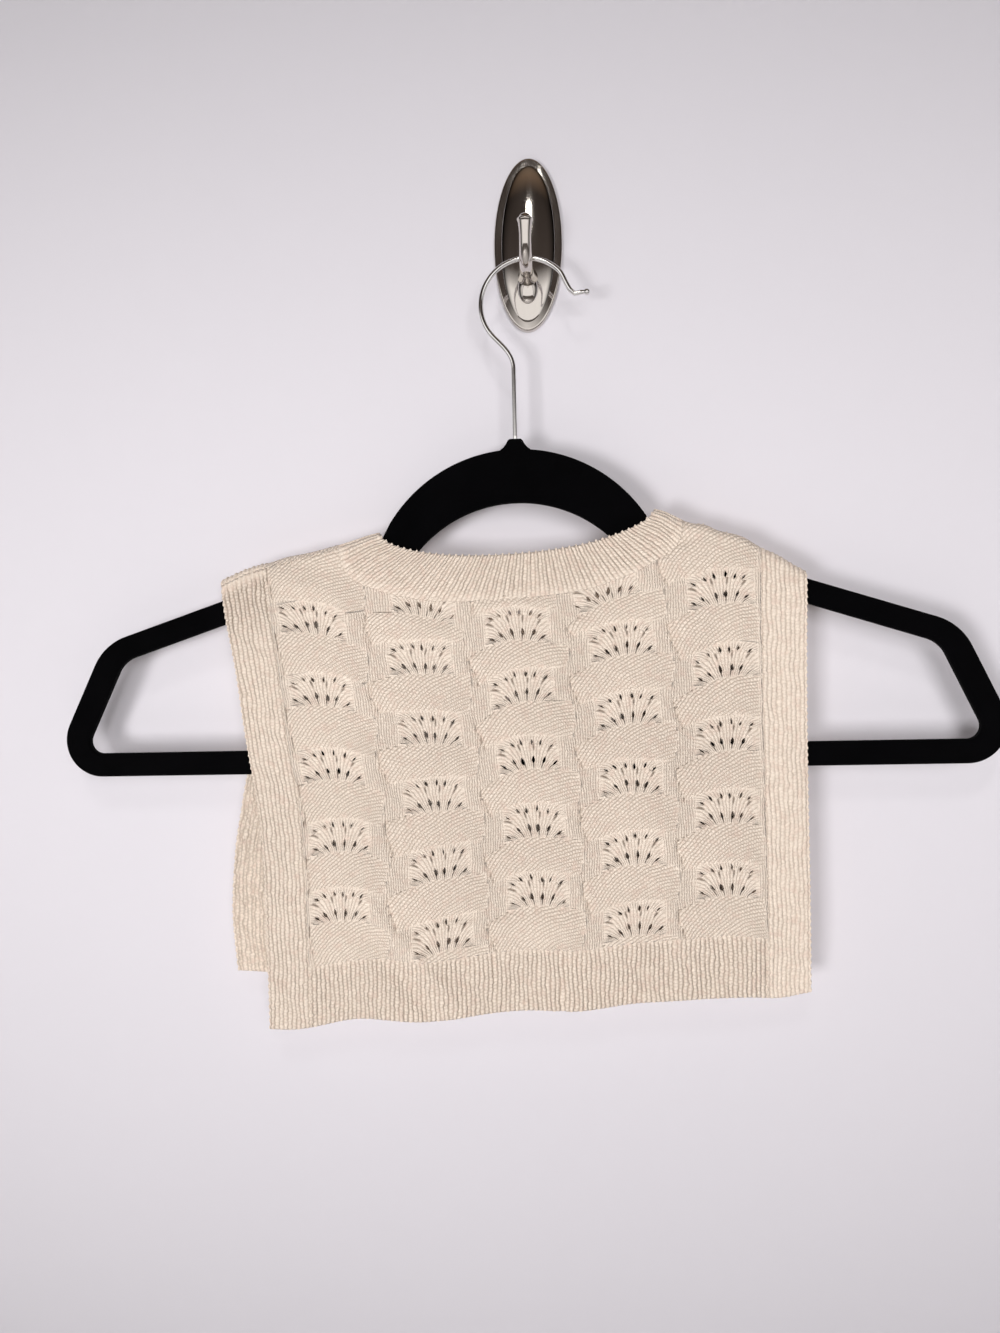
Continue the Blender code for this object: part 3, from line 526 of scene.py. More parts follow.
@dataclass(frozen=True)
class Fold:
    """One soft ridge of the cloth, or a trough where its lift is below nothing, in millimetres."""

    side: Side
    x: float
    z: float
    turn: float
    long: float
    wide: float
    lift: float

    def at(self, x: np.ndarray, z: np.ndarray) -> np.ndarray:
        """The fold's lift at places on its side."""
        turn = math.radians(self.turn)
        along = (x - self.x) * math.sin(turn) + (z - self.z) * math.cos(turn)
        aside = (x - self.x) * math.cos(turn) - (z - self.z) * math.sin(turn)
        return self.lift * bell(along, self.long) * bell(aside, self.wide)


@dataclass
class VestForm:
    """The vest's own sizes: its fold over the hanger, its outlines and its neck edges."""

    wall: float = 2.0
    fold_radius: float = 4.0
    rib_rise: float = 0.9
    hem_height: float = 28.3
    border_share: float = 0.0775
    hem_wave: float = 2.4
    wave_turn: float = TURN * 3.5 / 256.0
    panel_drop: float = 216.0
    seam_left: float = 5.0
    seam_right: float = -2.0
    folds: tuple[Fold, ...] = (
        Fold(Side.BACK, -54.0, -238.5, -41.0, 27.0, 4.6, 2.0),
        Fold(Side.BACK, -63.0, -246.0, -41.0, 25.0, 6.0, -2.2),
        Fold(Side.BACK, -90.0, -258.0, -20.0, 20.0, 12.0, -1.6),
        Fold(Side.BACK, -38.0, -262.0, -30.0, 14.0, 6.0, 1.2),
        Fold(Side.BACK, 89.0, -240.0, 24.0, 17.0, 8.5, -2.2),
        Fold(Side.BACK, 104.0, -243.0, 16.0, 19.0, 7.0, 1.4),
        Fold(Side.BACK, 122.0, -258.0, 52.0, 18.0, 9.0, -1.9),
        Fold(Side.BACK, 16.5, -262.0, 1.0, 26.0, 1.8, -1.2),
        Fold(Side.BACK, -15.0, -242.0, -3.0, 14.0, 1.7, -0.9),
        Fold(Side.BACK, 64.0, -236.0, -6.0, 15.0, 2.6, -0.9),
        Fold(Side.BACK, 92.0, -100.0, 8.0, 16.0, 5.0, -1.5),
        Fold(Side.BACK, 78.0, -92.0, 12.0, 18.0, 6.0, 1.0),
        Fold(Side.BACK, -128.0, -118.0, 6.0, 26.0, 6.0, -1.2),
        Fold(Side.BACK, -30.0, -222.0, 84.0, 30.0, 2.6, -1.0),
        Fold(Side.BACK, 36.0, -222.0, 80.0, 26.0, 4.0, 0.8),
        Fold(Side.BACK, 60.0, -60.0, 62.0, 17.0, 6.0, 1.4),
        Fold(Side.BACK, 98.0, -62.0, 66.0, 13.0, 5.0, 1.2),
        Fold(Side.BACK, 74.0, -50.0, 64.0, 11.0, 3.0, -0.8),
        Fold(Side.BACK, -100.0, -66.0, -68.0, 22.0, 4.5, 1.0),
        Fold(Side.BACK, -78.0, -78.0, -60.0, 15.0, 4.0, -0.8),
        Fold(Side.BACK, 126.0, -170.0, -4.0, 40.0, 5.0, 0.8),
        Fold(Side.BACK, 118.0, -120.0, 4.0, 26.0, 4.0, -0.6),
        Fold(Side.FRONT, -72.0, -214.0, -36.0, 26.0, 6.5, 1.9),
        Fold(Side.FRONT, -92.0, -204.0, -34.0, 24.0, 6.0, -1.7),
        Fold(Side.FRONT, 48.0, -222.0, 30.0, 22.0, 7.0, -1.8),
        Fold(Side.FRONT, 64.0, -226.0, 26.0, 24.0, 6.0, 1.3),
        Fold(Side.FRONT, 0.0, -128.0, 88.0, 34.0, 5.0, -1.2),
        Fold(Side.FRONT, -8.0, -236.0, 3.0, 18.0, 2.2, -1.0),
        Fold(Side.FRONT, 104.0, -150.0, -6.0, 30.0, 6.0, 1.2),
        Fold(Side.FRONT, -130.0, -160.0, 5.0, 34.0, 5.0, 1.0))
    shoulder: SmoothTable = field(default_factory=lambda: SmoothTable(
        (-146.0, -128.0, -100.0, -80.0, -66.0, -30.0, 30.0, 64.0, 78.0, 96.0, 112.0, 125.0, 136.0),
        (-60.6, -53.6, -48.0, -43.0, -39.6, -38.0, -35.0, -32.6, -37.8, -43.2, -50.4, -58.0, -64.5)))

    def fold_middle(self, x: np.ndarray) -> np.ndarray:
        """The height of the fold's middle surface, a little lumpy over the right shoulder."""
        lumps = 0.55 * np.sin(x / 2.7 + 0.4) * bell(x - 103.0, 22.0)
        lumps = lumps + 0.35 * np.sin(x / 1.9) * bell(x - 94.0, 9.0)
        return self.shoulder(x) - self.wall / 2 - self.rib_rise / 2 + lumps

    def swell(self, x: np.ndarray, down: np.ndarray) -> np.ndarray:
        """How far the cloth swells away from the hanger, mostly near the hem."""
        share = np.maximum(0.0, down / self.panel_drop)
        return self.hem_wave * share ** 2 * (0.55 + 0.45 * np.sin(self.wave_turn * x + 0.8))

    def points(self, side: Side, x: np.ndarray, down: np.ndarray, lift: np.ndarray) -> np.ndarray:
        """Places on the cloth, in the hanger's frame.

        Args:
            side: the panel's side.
            x: places along the hanger, in millimetres, as the rest is.
            down: the ways down from the fold; a negative one goes over it.
            lift: how far each point stands out of the cloth's middle surface.

        Returns:
            One row of x, y, z for each place.
        """
        quarter = self.fold_radius * math.pi / 2
        crest = self.fold_middle(x) - self.fold_radius
        angle = np.minimum(down, quarter) / self.fold_radius
        reach = self.fold_radius + lift
        beyond = np.maximum(0.0, down - quarter)
        height = np.where(down < quarter, crest + reach * np.cos(angle), crest - beyond)
        folded = sum(fold.at(x, height) for fold in self.folds if fold.side is side)
        below_fold = smooth_step(quarter - 2, quarter + 4, down)
        out = reach * np.sin(angle) + self.swell(x, beyond) + folded * below_fold
        return np.stack([x, side.value * out, height], axis=-1)


@dataclass
class PanelForm:
    """One panel's outline, told by shares across it and ways down from the fold."""

    side: Side
    form: VestForm
    down_keys: Sequence[float]
    left: Sequence[float]
    right: Sequence[float]
    hem_keys: Sequence[float]
    hem: Sequence[float]

    def __post_init__(self) -> None:
        """Make smooth curves of the tables."""
        self.left_edge = SmoothTable(self.down_keys, self.left)
        self.right_edge = SmoothTable(self.down_keys, self.right)
        self.hem_edge = SmoothTable(self.hem_keys, self.hem)

    def width(self, share: float) -> float:
        """The panel's whole width at a share of the way down."""
        return float(self.right_edge(share) - self.left_edge(share))

    def length(self, across: np.ndarray) -> np.ndarray:
        """Cloth length from the fold to the hem's edge."""
        x = self.left_edge(1.0) + (self.right_edge(1.0) - self.left_edge(1.0)) * across
        middle = self.form.fold_middle(x) - self.form.fold_radius
        return middle + self.form.fold_radius * math.pi / 2 - self.hem_edge(across)

    def hem_top(self, across: np.ndarray) -> np.ndarray:
        """The way down to the hem's first row."""
        return self.length(across) - self.form.hem_height

    def x_at(self, across: np.ndarray, down: np.ndarray) -> np.ndarray:
        """The place along the hanger."""
        share = np.maximum(0.0, down) / self.length(across)
        left, right = self.left_edge(share), self.right_edge(share)
        return left + (right - left) * across

    def seam(self, across: np.ndarray) -> np.ndarray:
        """The shoulder seam's way down this panel."""
        on_back = self.form.seam_left + (self.form.seam_right - self.form.seam_left) * across
        return -self.side.value * on_back


@dataclass(frozen=True)
class NeckEdge:
    """One edge of the neckband, an oval that drops further on the front."""

    left: float
    right: float
    drop_back: float
    drop_front: float
    power: float

    def drop(self, side: Side) -> float:
        """How far the edge drops on a side."""
        return self.drop_back if side is Side.BACK else self.drop_front

    def half(self, side: Side, count: int = 240) -> np.ndarray:
        """Close points of the edge on one side, from the left shoulder to the right."""
        angle = np.pi * (1 - np.arange(count + 1) / count)
        turn, rise = np.cos(angle), np.abs(np.sin(angle))
        x = (self.left + self.right) / 2 + (self.right - self.left) / 2 * np.sign(turn) * np.abs(
            turn) ** (2 / self.power)
        return np.stack([x, self.drop(side) * rise ** (2 / self.power)], axis=-1)

    def outside(self, side: Side, x: np.ndarray,
                down: np.ndarray) -> tuple[np.ndarray, np.ndarray, np.ndarray]:
        """How far places are outside the oval.

        Args:
            side: the panel's side.
            x: places along the hanger.
            down: ways down from the fold.

        Returns:
            The distance outside, about, and the two parts of the way out.
        """
        half = (self.right - self.left) / 2
        across = (x - (self.left + self.right) / 2) / half
        low = np.maximum(down, 0.0) / self.drop(side)
        power = self.power
        value = np.abs(across) ** power + low ** power
        radius = value ** (1 / power)
        slope = np.maximum(value, 1e-9) ** (1 / power - 1)
        out_x = slope * np.sign(across) * np.abs(across) ** (power - 1) / half
        out_down = slope * low ** (power - 1) / self.drop(side)
        steep = np.maximum(np.hypot(out_x, out_down), 1e-6)
        return (radius - 1) / steep, out_x / steep, out_down / steep


FORM = VestForm()
BACK = PanelForm(
    Side.BACK, FORM,
    down_keys=(0.0, 0.08, 0.21, 0.36, 0.58, 0.72, 1.0),
    left=(-142.5, -141.0, -136.5, -132.5, -125.2, -123.8, -122.8),
    right=(133.2, 132.9, 132.2, 131.7, 131.3, 131.2, 130.7),
    hem_keys=(0.0, 0.04, 0.19, 0.29, 0.50, 0.57, 0.70, 0.88, 0.94, 1.0),
    hem=(-274.6, -275.2, -269.6, -271.2, -265.2, -266.0, -262.2, -259.4, -260.6, -257.6))
FRONT = PanelForm(
    Side.FRONT, FORM,
    down_keys=(0.0, 0.16, 0.31, 0.45, 0.58, 0.70, 0.85, 1.0),
    left=(-142.5, -138.5, -134.0, -133.0, -137.2, -141.4, -143.4, -141.5),
    right=(133.2, 128.0, 124.0, 121.0, 119.5, 118.0, 116.0, 115.0),
    hem_keys=(0.0, 0.08, 0.35, 0.70, 1.0),
    hem=(-250.4, -251.2, -248.0, -243.5, -240.0))
FREE_EDGE = NeckEdge(-66.0, 64.8, 16.4, 44.0, 2.1)
SEWN_EDGE = NeckEdge(-85.4, 77.5, 37.6, 66.0, 2.6)


@dataclass
class ClothGrid:
    """A rectangular net of cloth, before it is shaped and given its thickness."""

    columns: int
    rows: int

    def __post_init__(self) -> None:
        """Make the flat net and number its places."""
        self.net = bmesh.new()
        bmesh.ops.create_grid(self.net, x_segments=self.columns, y_segments=self.rows, size=0.5)
        spots = np.array([v.co[:2] for v in self.net.verts]) + 0.5
        self.column = np.rint(spots[:, 0] * self.columns).astype(int)
        self.row = np.rint(spots[:, 1] * self.rows).astype(int)
        self.net.verts.ensure_lookup_table()

    def shape(self, places: np.ndarray, stitches: dict[str, np.ndarray]) -> None:
        """Move the net's points to their places and keep their stitch places.

        Args:
            places: a row of x, y, z for each point, in millimetres in the hanger's frame.
            stitches: for each named stitch place, three numbers for each point; what isn't
                named is nothing.
        """
        none = np.zeros((len(places), 3))
        named = [stitches.get(name, none) for name in STITCH_PLACES]
        layers = [self.net.verts.layers.float_vector.new(name.lower()) for name in STITCH_PLACES]
        for vert, place, *values in zip(self.net.verts, places, *named):
            vert.co = HANGER_PLACE @ Vector(place * MM)
            for layer, value in zip(layers, values):
                vert[layer] = Vector(value)

    def finish(self, name: str, material: bpy.types.Material, nodes: Sequence[str], outward: Vector,
               wall: float) -> bpy.types.Object:
        """Give the net its thickness and put it in the scene.

        Args:
            name: the piece's name.
            material: its finish.
            nodes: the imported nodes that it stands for.
            outward: the way its raised face looks, at its middle.
            wall: the cloth's thickness in millimetres, set inwards.

        Returns:
            The finished piece.
        """
        bmesh.ops.recalc_face_normals(self.net, faces=self.net.faces)
        self.net.faces.ensure_lookup_table()
        facing = sum((f.normal * f.calc_area() for f in self.net.faces), Vector())
        if facing.dot(outward) < 0:
            bmesh.ops.reverse_faces(self.net, faces=self.net.faces)
        return self.thicken(name, material, nodes, wall)

    def thicken(self, name: str, material: bpy.types.Material, nodes: Sequence[str],
                wall: float) -> bpy.types.Object:
        """Put the net in the scene as cloth with a thickness.

        Args:
            name: the piece's name.
            material: its finish.
            nodes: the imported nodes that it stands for.
            wall: the cloth's thickness in millimetres, set inwards.

        Returns:
            The finished piece.
        """
        mesh = bpy.data.meshes.new(name)
        self.net.to_mesh(mesh)
        self.net.free()
        piece = add_piece(name, mesh, material, nodes)
        solidify = piece.modifiers.new("cloth_wall", "SOLIDIFY")
        solidify.thickness = wall * MM
        solidify.offset = -1.0
        solidify.use_rim = True
        return piece


def rib_height(phase: np.ndarray, between: float) -> np.ndarray:
    """A rib's height: a knit ridge at its middle and a lower purl ridge between two ribs."""
    off_knit = np.abs(phase % 1.0 - 0.5)
    return bell(off_knit, 0.16) + between * bell(0.5 - off_knit, 0.14)


def rib_stitches(phase: np.ndarray, courses: np.ndarray, clear: np.ndarray) -> dict[str, np.ndarray]:
    """The stitch places of ribbing.

    Args:
        phase: the rib of each point; whole phases are the ribs' sides.
        courses: the course of each point.
        clear: how clearly the ridges show, from 0 to 1.

    Returns:
        The stitch places: one row of beads on each ridge, and how much painted shade the grooves between
            ridges get.
    """
    one = np.ones_like(phase)
    return {"Knit": np.stack([0.25 * one, 0.5 * one, 0 * one], axis=-1),
            "Purl": np.stack([courses, 2 * phase + 0.5, clear], axis=-1),
            "Crease": np.stack([9.0 * one, 0 * one, 0.55 * clear], axis=-1)}


def sway(x: np.ndarray, up: np.ndarray) -> np.ndarray:
    """How far a hand-washed knit's lines wander sideways, in millimetres."""
    return (0.22 * np.sin(up / 3.4 + 0.23 * x) + 0.2 * np.sin(up / 7.1 - 0.11 * x + 1.3)
            + 0.12 * np.sin(up / 2.1 + 0.57 * x + 0.6))


@dataclass(frozen=True)
class LaceColumn:
    """One column of shells: each one's share across the panel, height above the hem and tilt."""

    shells: tuple[tuple[float, float, float], ...]
    pitch: float = 33.0

    def middle(self, up: np.ndarray) -> np.ndarray:
        """The column's middle line, as shares across the panel."""
        shares, heights, _ = zip(*self.shells)
        return np.interp(up, heights, shares)

    def ladder(self) -> tuple[np.ndarray, np.ndarray]:
        """The shells' heights and tilts, with one unmade shell below and two above."""
        _, heights, tilts = zip(*self.shells)
        return (np.array([heights[0] - self.pitch, *heights, heights[-1] + self.pitch,
                          heights[-1] + 2 * self.pitch]),
                np.array([tilts[0], *tilts, tilts[-1], tilts[-1]]))


@dataclass(frozen=True)
class EyeletArc:
    """One of a shell's two arcs of eyelets, in millimetres from the shell's middle."""

    height: float
    shift: float
    spacing: float
    sag_left: float
    sag_right: float
    length: float
    width: float
    end_width: float
    eyelets: int = 6

    @property
    def reach(self) -> float:
        """How far out the arc's last eyelets are."""
        return self.spacing * (self.eyelets - 1) / 2

    def line(self, x: np.ndarray) -> np.ndarray:
        """The arc's height at places across the shell."""
        sag = np.where(x < self.shift, self.sag_left, self.sag_right)
        return self.height - sag * np.minimum(np.abs((x - self.shift) / self.reach), 1.25) ** 2


@dataclass
class Motif:
    """Where points lie in their shell's cell, in millimetres from the shell's middle."""

    x: np.ndarray
    y: np.ndarray
    from_left: np.ndarray
    from_right: np.ndarray
    below: np.ndarray
    above: np.ndarray
    tilt: np.ndarray
    tilt_below: np.ndarray
    tilt_above: np.ndarray
    first: np.ndarray
    past_last: np.ndarray


@dataclass
class ShellLace:
    """The lace ground: fans with two arcs of eyelets, over domes of purl."""

    columns: tuple[LaceColumn, ...] = (
        LaceColumn(((0.139, 27.9, -0.13), (0.1454, 60.6, -0.14), (0.1456, 95.2, -0.22),
                    (0.1465, 132.0, -0.25), (0.146, 167.0, -0.34))),
        LaceColumn(((0.33, 12.4, 0.12), (0.329, 46.4, 0.08), (0.3256, 78.8, -0.03),
                    (0.3335, 110.4, -0.15), (0.327, 143.9, -0.11), (0.3455, 170.8, -0.38))),
        LaceColumn(((0.508, 28.9, 0.04), (0.506, 60.9, 0.06), (0.504, 92.7, 0.08),
                    (0.504, 124.0, 0.15), (0.503, 153.2, 0.01))),
        LaceColumn(((0.6837, 11.6, 0.02), (0.683, 44.7, -0.03), (0.6858, 78.0, -0.09),
                    (0.6878, 110.0, 0.01), (0.6835, 142.3, 0.0), (0.657, 168.6, 0.2))),
        LaceColumn(((0.8525, 27.0, -0.01), (0.8549, 60.4, 0.05), (0.8605, 93.9, 0.07),
                    (0.8616, 127.3, 0.19), (0.8557, 161.6, 0.09))))
    arcs: tuple[EyeletArc, EyeletArc] = (
        EyeletArc(-4.3, 0.2, 4.75, 2.7, 2.3, 4.1, 1.45, 0.8),
        EyeletArc(4.3, -0.2, 4.55, 2.2, 1.9, 3.5, 0.9, 0.7))
    strand_turn: float = math.radians(52.0) / 12.0
    lean: float = math.radians(-5.0)
    cell_shift: float = 0.65
    scallop: float = 1.3
    scallop_turn: float = TURN / 32.6
    scallop_phase: float = 4.56
    dome_rise: float = 1.15
    strand_rise: float = 0.2
    crease: float = 0.6
    wale: float = 2.3
    bead: float = 1.5
    course: float = 1.6

    def borders(self, up: np.ndarray, width: float, mirror: float) -> np.ndarray:
        """Draw the scalloped lines between the columns.

        Args:
            up: heights above the hem.
            width: the panel's width, in millimetres.
            mirror: 1, or -1 on a panel that is seen from the other side.

        Returns:
            For each line, its share across the panel at each height.
        """
        lines = []
        for left, right in zip(self.columns, self.columns[1:]):
            owner = right if mirror > 0 else left
            wave = np.sin(self.scallop_turn * (up - owner.shells[0][1]) + self.scallop_phase)
            shift = self.cell_shift + self.scallop * wave
            lines.append((left.middle(up) + right.middle(up)) / 2 - mirror * shift / width)
        low, high = np.full_like(up, FORM.border_share), np.full_like(up, 1 - FORM.border_share)
        return np.array([low, *lines, high])

    def motif(self, across: np.ndarray, up: np.ndarray, width: float, mirror: float) -> Motif:
        """Find each point's place in its motif.

        Args:
            across: shares across the panel.
            up: heights above the hem, in millimetres.
            width: the panel's width.
            mirror: 1, or -1 on a panel that is seen from the other side.

        Returns:
            The places in the motif.
        """
        lines = self.borders(up, width, mirror)
        column = np.sum(across[None, :] > lines[1:-1], axis=0)
        everyone = np.arange(len(up))
        middle = np.array([c.middle(up) for c in self.columns])[column, everyone]
        sides = [(across - lines[column, everyone]) * width, (lines[column + 1, everyone] - across) * width]
        if mirror < 0:
            sides.reverse()
        y, below, above, tilt, tilt_below, tilt_above = (np.zeros_like(up) for _ in range(6))
        first, past_last = np.zeros(len(up), bool), np.zeros(len(up), bool)
        for place, each in enumerate(self.columns):
            (ladder, tilts), count = each.ladder(), len(each.shells)
            number = np.clip(np.searchsorted(ladder[1:-1] + 9.0, up), 0, count) + 1
            mine = column == place
            y[mine] = (up - ladder[number])[mine]
            below[mine] = (ladder[number] - ladder[number - 1])[mine]
            above[mine] = (ladder[number + 1] - ladder[number])[mine]
            for kept, step in ((tilt, 0), (tilt_below, -1), (tilt_above, 1)):
                kept[mine] = tilts[number + step][mine]
            first[mine] = (number == 1)[mine]
            past_last[mine] = (number == count + 1)[mine]
        x = (across - middle) * width * mirror
        return Motif(x, y, *sides, below, above, tilt, tilt_below, tilt_above, first, past_last)

    def dome(self, at: Motif, upper: bool) -> tuple[np.ndarray, np.ndarray, np.ndarray]:
        """The purl dome under a shell, or the next one above it.

        Args:
            at: the places in the motif.
            upper: whether it is the dome above the shell.

        Returns:
            The dome's share, its lift and the way to its creased edges over their strength, which sets where
            the painted crease shade falls.
        """
        y = at.y - at.above if upper else at.y
        pitch = at.above if upper else at.below
        tilt_top, tilt_bottom = (at.tilt_above, at.tilt) if upper else (at.tilt, at.tilt_below)
        s = at.x / 22.6
        top = -8.5 - 4.2 * s * s + 1.4 * s * np.abs(s) + tilt_top * at.x
        bottom = -pitch + 7.3 - 3.2 * s * s + 0.6 * s * np.abs(s) + tilt_bottom * at.x
        share_up = np.clip((y - bottom) / (top - bottom), 0.0, 1.0)
        wiggle = 0.4 * np.sin(y * 0.9) * np.sin(np.pi * share_up)
        in_left = at.from_left - 0.6 - 1.5 * (1 - share_up) ** 1.5 + wiggle
        in_right = at.from_right - 0.7 + 0.4 * np.sin(y * 0.7)
        in_top, in_bottom = top - y, y - bottom
        if upper:
            in_bottom = np.where(at.past_last, -9.0, in_bottom)
        else:
            in_top = np.where(at.past_last, 9.0, in_top)
            in_bottom = np.where(at.first, 9.0, in_bottom)
        inside = (smooth_step(-0.5, 0.7, in_left) * smooth_step(-0.6, 0.6, in_right)
                  * smooth_step(-0.6, 0.6, in_top) * smooth_step(-0.6, 0.6, in_bottom))
        rise = np.sin(np.pi * share_up ** 0.72) ** 0.65
        across = smooth_step(0.0, 3.2, in_left) * smooth_step(0.0, 11.0, in_right)
        within = smooth_step(-2.0, 0.5, in_top) * smooth_step(-2.0, 0.5, in_bottom)
        over_left = 1 - smooth_step(-16.0, -7.0, at.x)
        over_right = smooth_step(7.0, 13.0, at.x) * smooth_step(-1.0, 1.5, in_right)
        near_top = smooth_step(-1.5, 0.5, in_left) * (0.8 * over_left + 0.55 * over_right)
        lift = self.dome_rise * rise * across
        lift = lift - self.crease * (1.3 * bell(in_left, 0.9) * within + 0.6 * bell(in_top, 0.8) * near_top)
        by_left = 0.8 * np.abs(in_left) / np.maximum(within, 0.02)
        by_top = np.abs(in_top) / np.maximum(near_top, 0.02)
        return inside, lift, np.minimum(by_left, by_top)

    def strands(self, x: np.ndarray, y: np.ndarray, turn: float) -> np.ndarray:
        """The strand that each place of a fan is on, told by where it crosses the arc."""
        angle = np.clip(self.strand_turn * x + self.lean, -1.3, 1.3)
        grown = np.clip(np.sin(angle) * np.exp(-turn * y), -0.985, 0.985)
        return (np.arcsin(grown) - self.lean) / self.strand_turn

    def fan(self, at: Motif) -> tuple[np.ndarray, np.ndarray, np.ndarray]:
        """The fan's strands.

        Args:
            at: the places in the motif.

        Returns:
            The lift, the strand places of the two arcs with the share of the upper one, and
            the share of eyelet tails, which get painted shade.
        """
        lift, tails, counted = np.zeros_like(at.x), np.zeros_like(at.x), []
        for arc, turn in zip(self.arcs, (0.055, self.strand_turn)):
            above = at.y - at.tilt * at.x - arc.line(at.x)
            strand = self.strands(at.x, above, np.where(above > 0, turn, self.strand_turn))
            counted.append(2 * (strand - arc.shift) / arc.spacing)
            ridge = -np.cos(np.pi * counted[-1])
            lift -= self.strand_rise * ridge * bell(above + 0.6, 3.2)
            tails += smooth_step(-4.6, -3.0, above) * smooth_step(-0.2, -1.4, above)
        upper = smooth_step(-0.8, 0.4, at.y - at.tilt * at.x - self.arcs[1].line(at.x))
        return lift, np.stack([*counted, upper], axis=-1), tails

    def relief(self, across: np.ndarray, up: np.ndarray, width: float, mirror: float
               ) -> tuple[np.ndarray, dict[str, np.ndarray]]:
        """The lace's form and its stitches.

        Args:
            across: shares across the panel.
            up: heights above the hem, in millimetres.
            width: the panel's width.
            mirror: 1, or -1 on a panel that is seen from the other side.

        Returns:
            The lift and the stitch places.
        """
        at = self.motif(across, up, width, mirror)
        aside = sway(across * width, up)
        rise = sway(up, across * width)
        purl, lift, crease = self.dome(at, False)
        upper_purl, upper_lift, upper_crease = self.dome(at, True)
        is_upper = (at.y > 0) & ~at.past_last
        plain = (1 - purl) * (1 - upper_purl)
        strand_lift, strands, tails = self.fan(at)
        fan = smooth_step(16.0, 13.0, np.abs(at.x - 0.3)) * plain * ~at.past_last
        total = lift + upper_lift + strand_lift * fan * smooth_step(14.0, 12.0, np.abs(at.x))
        total += 0.4 * smooth_step(14.5, 19.0, at.x) * plain
        none = np.zeros_like(up)
        dome_y = np.where(is_upper, at.y - at.above, at.y) + 16.3
        radius = np.hypot(at.x - 24.0, dome_y + 38.0)
        angle = np.arctan2(at.x - 24.0, dome_y + 38.0)
        # Crease carries where the painted shade falls: along dome edges and in eyelet tails.
        return total, {
            "Knit": np.stack([(across * width + aside) / self.wale, (up + rise) / self.course, fan], axis=-1),
            "Fan": strands,
            "Purl": np.stack([angle * 45.0 / self.bead, (radius + rise) / self.course,
                              np.where(is_upper, upper_purl, purl)], axis=-1),
            "Crease": np.stack([np.minimum(crease, upper_crease), tails * fan, none], axis=-1)}

    def eyelet_list(self, panel: PanelForm, mirror: float, chance: random.Random
                    ) -> list[tuple[float, float, float, float, float]]:
        """Every eyelet of a panel.

        Args:
            panel: the panel's outline.
            mirror: 1, or -1 on a panel that is seen from the other side.
            chance: the source of small differences.

        Returns:
            For each, its share across, height, turn from upright, length and width.
        """
        width = panel.width(0.6)
        found = []
        for column in self.columns:
            for share, middle, tilt in column.shells:
                for arc in self.arcs:
                    for i in range(arc.eyelets):
                        x = (i - (arc.eyelets - 1) / 2) * arc.spacing + arc.shift + chance.uniform(-0.2, 0.2)
                        out = min(1.0, abs(x - arc.shift) / arc.reach)
                        y = middle + float(arc.line(np.array(x))) + tilt * x + chance.uniform(-0.4, 0.4)
                        turn = self.strand_turn * x + self.lean + chance.uniform(-0.1, 0.1)
                        wide = arc.width + (arc.end_width - arc.width) * out ** 1.5
                        wide *= chance.uniform(0.72, 1.2)
                        found.append((share + mirror * x / width, y, mirror * turn,
                                      arc.length * chance.uniform(0.85, 1.1), wide))
        return found


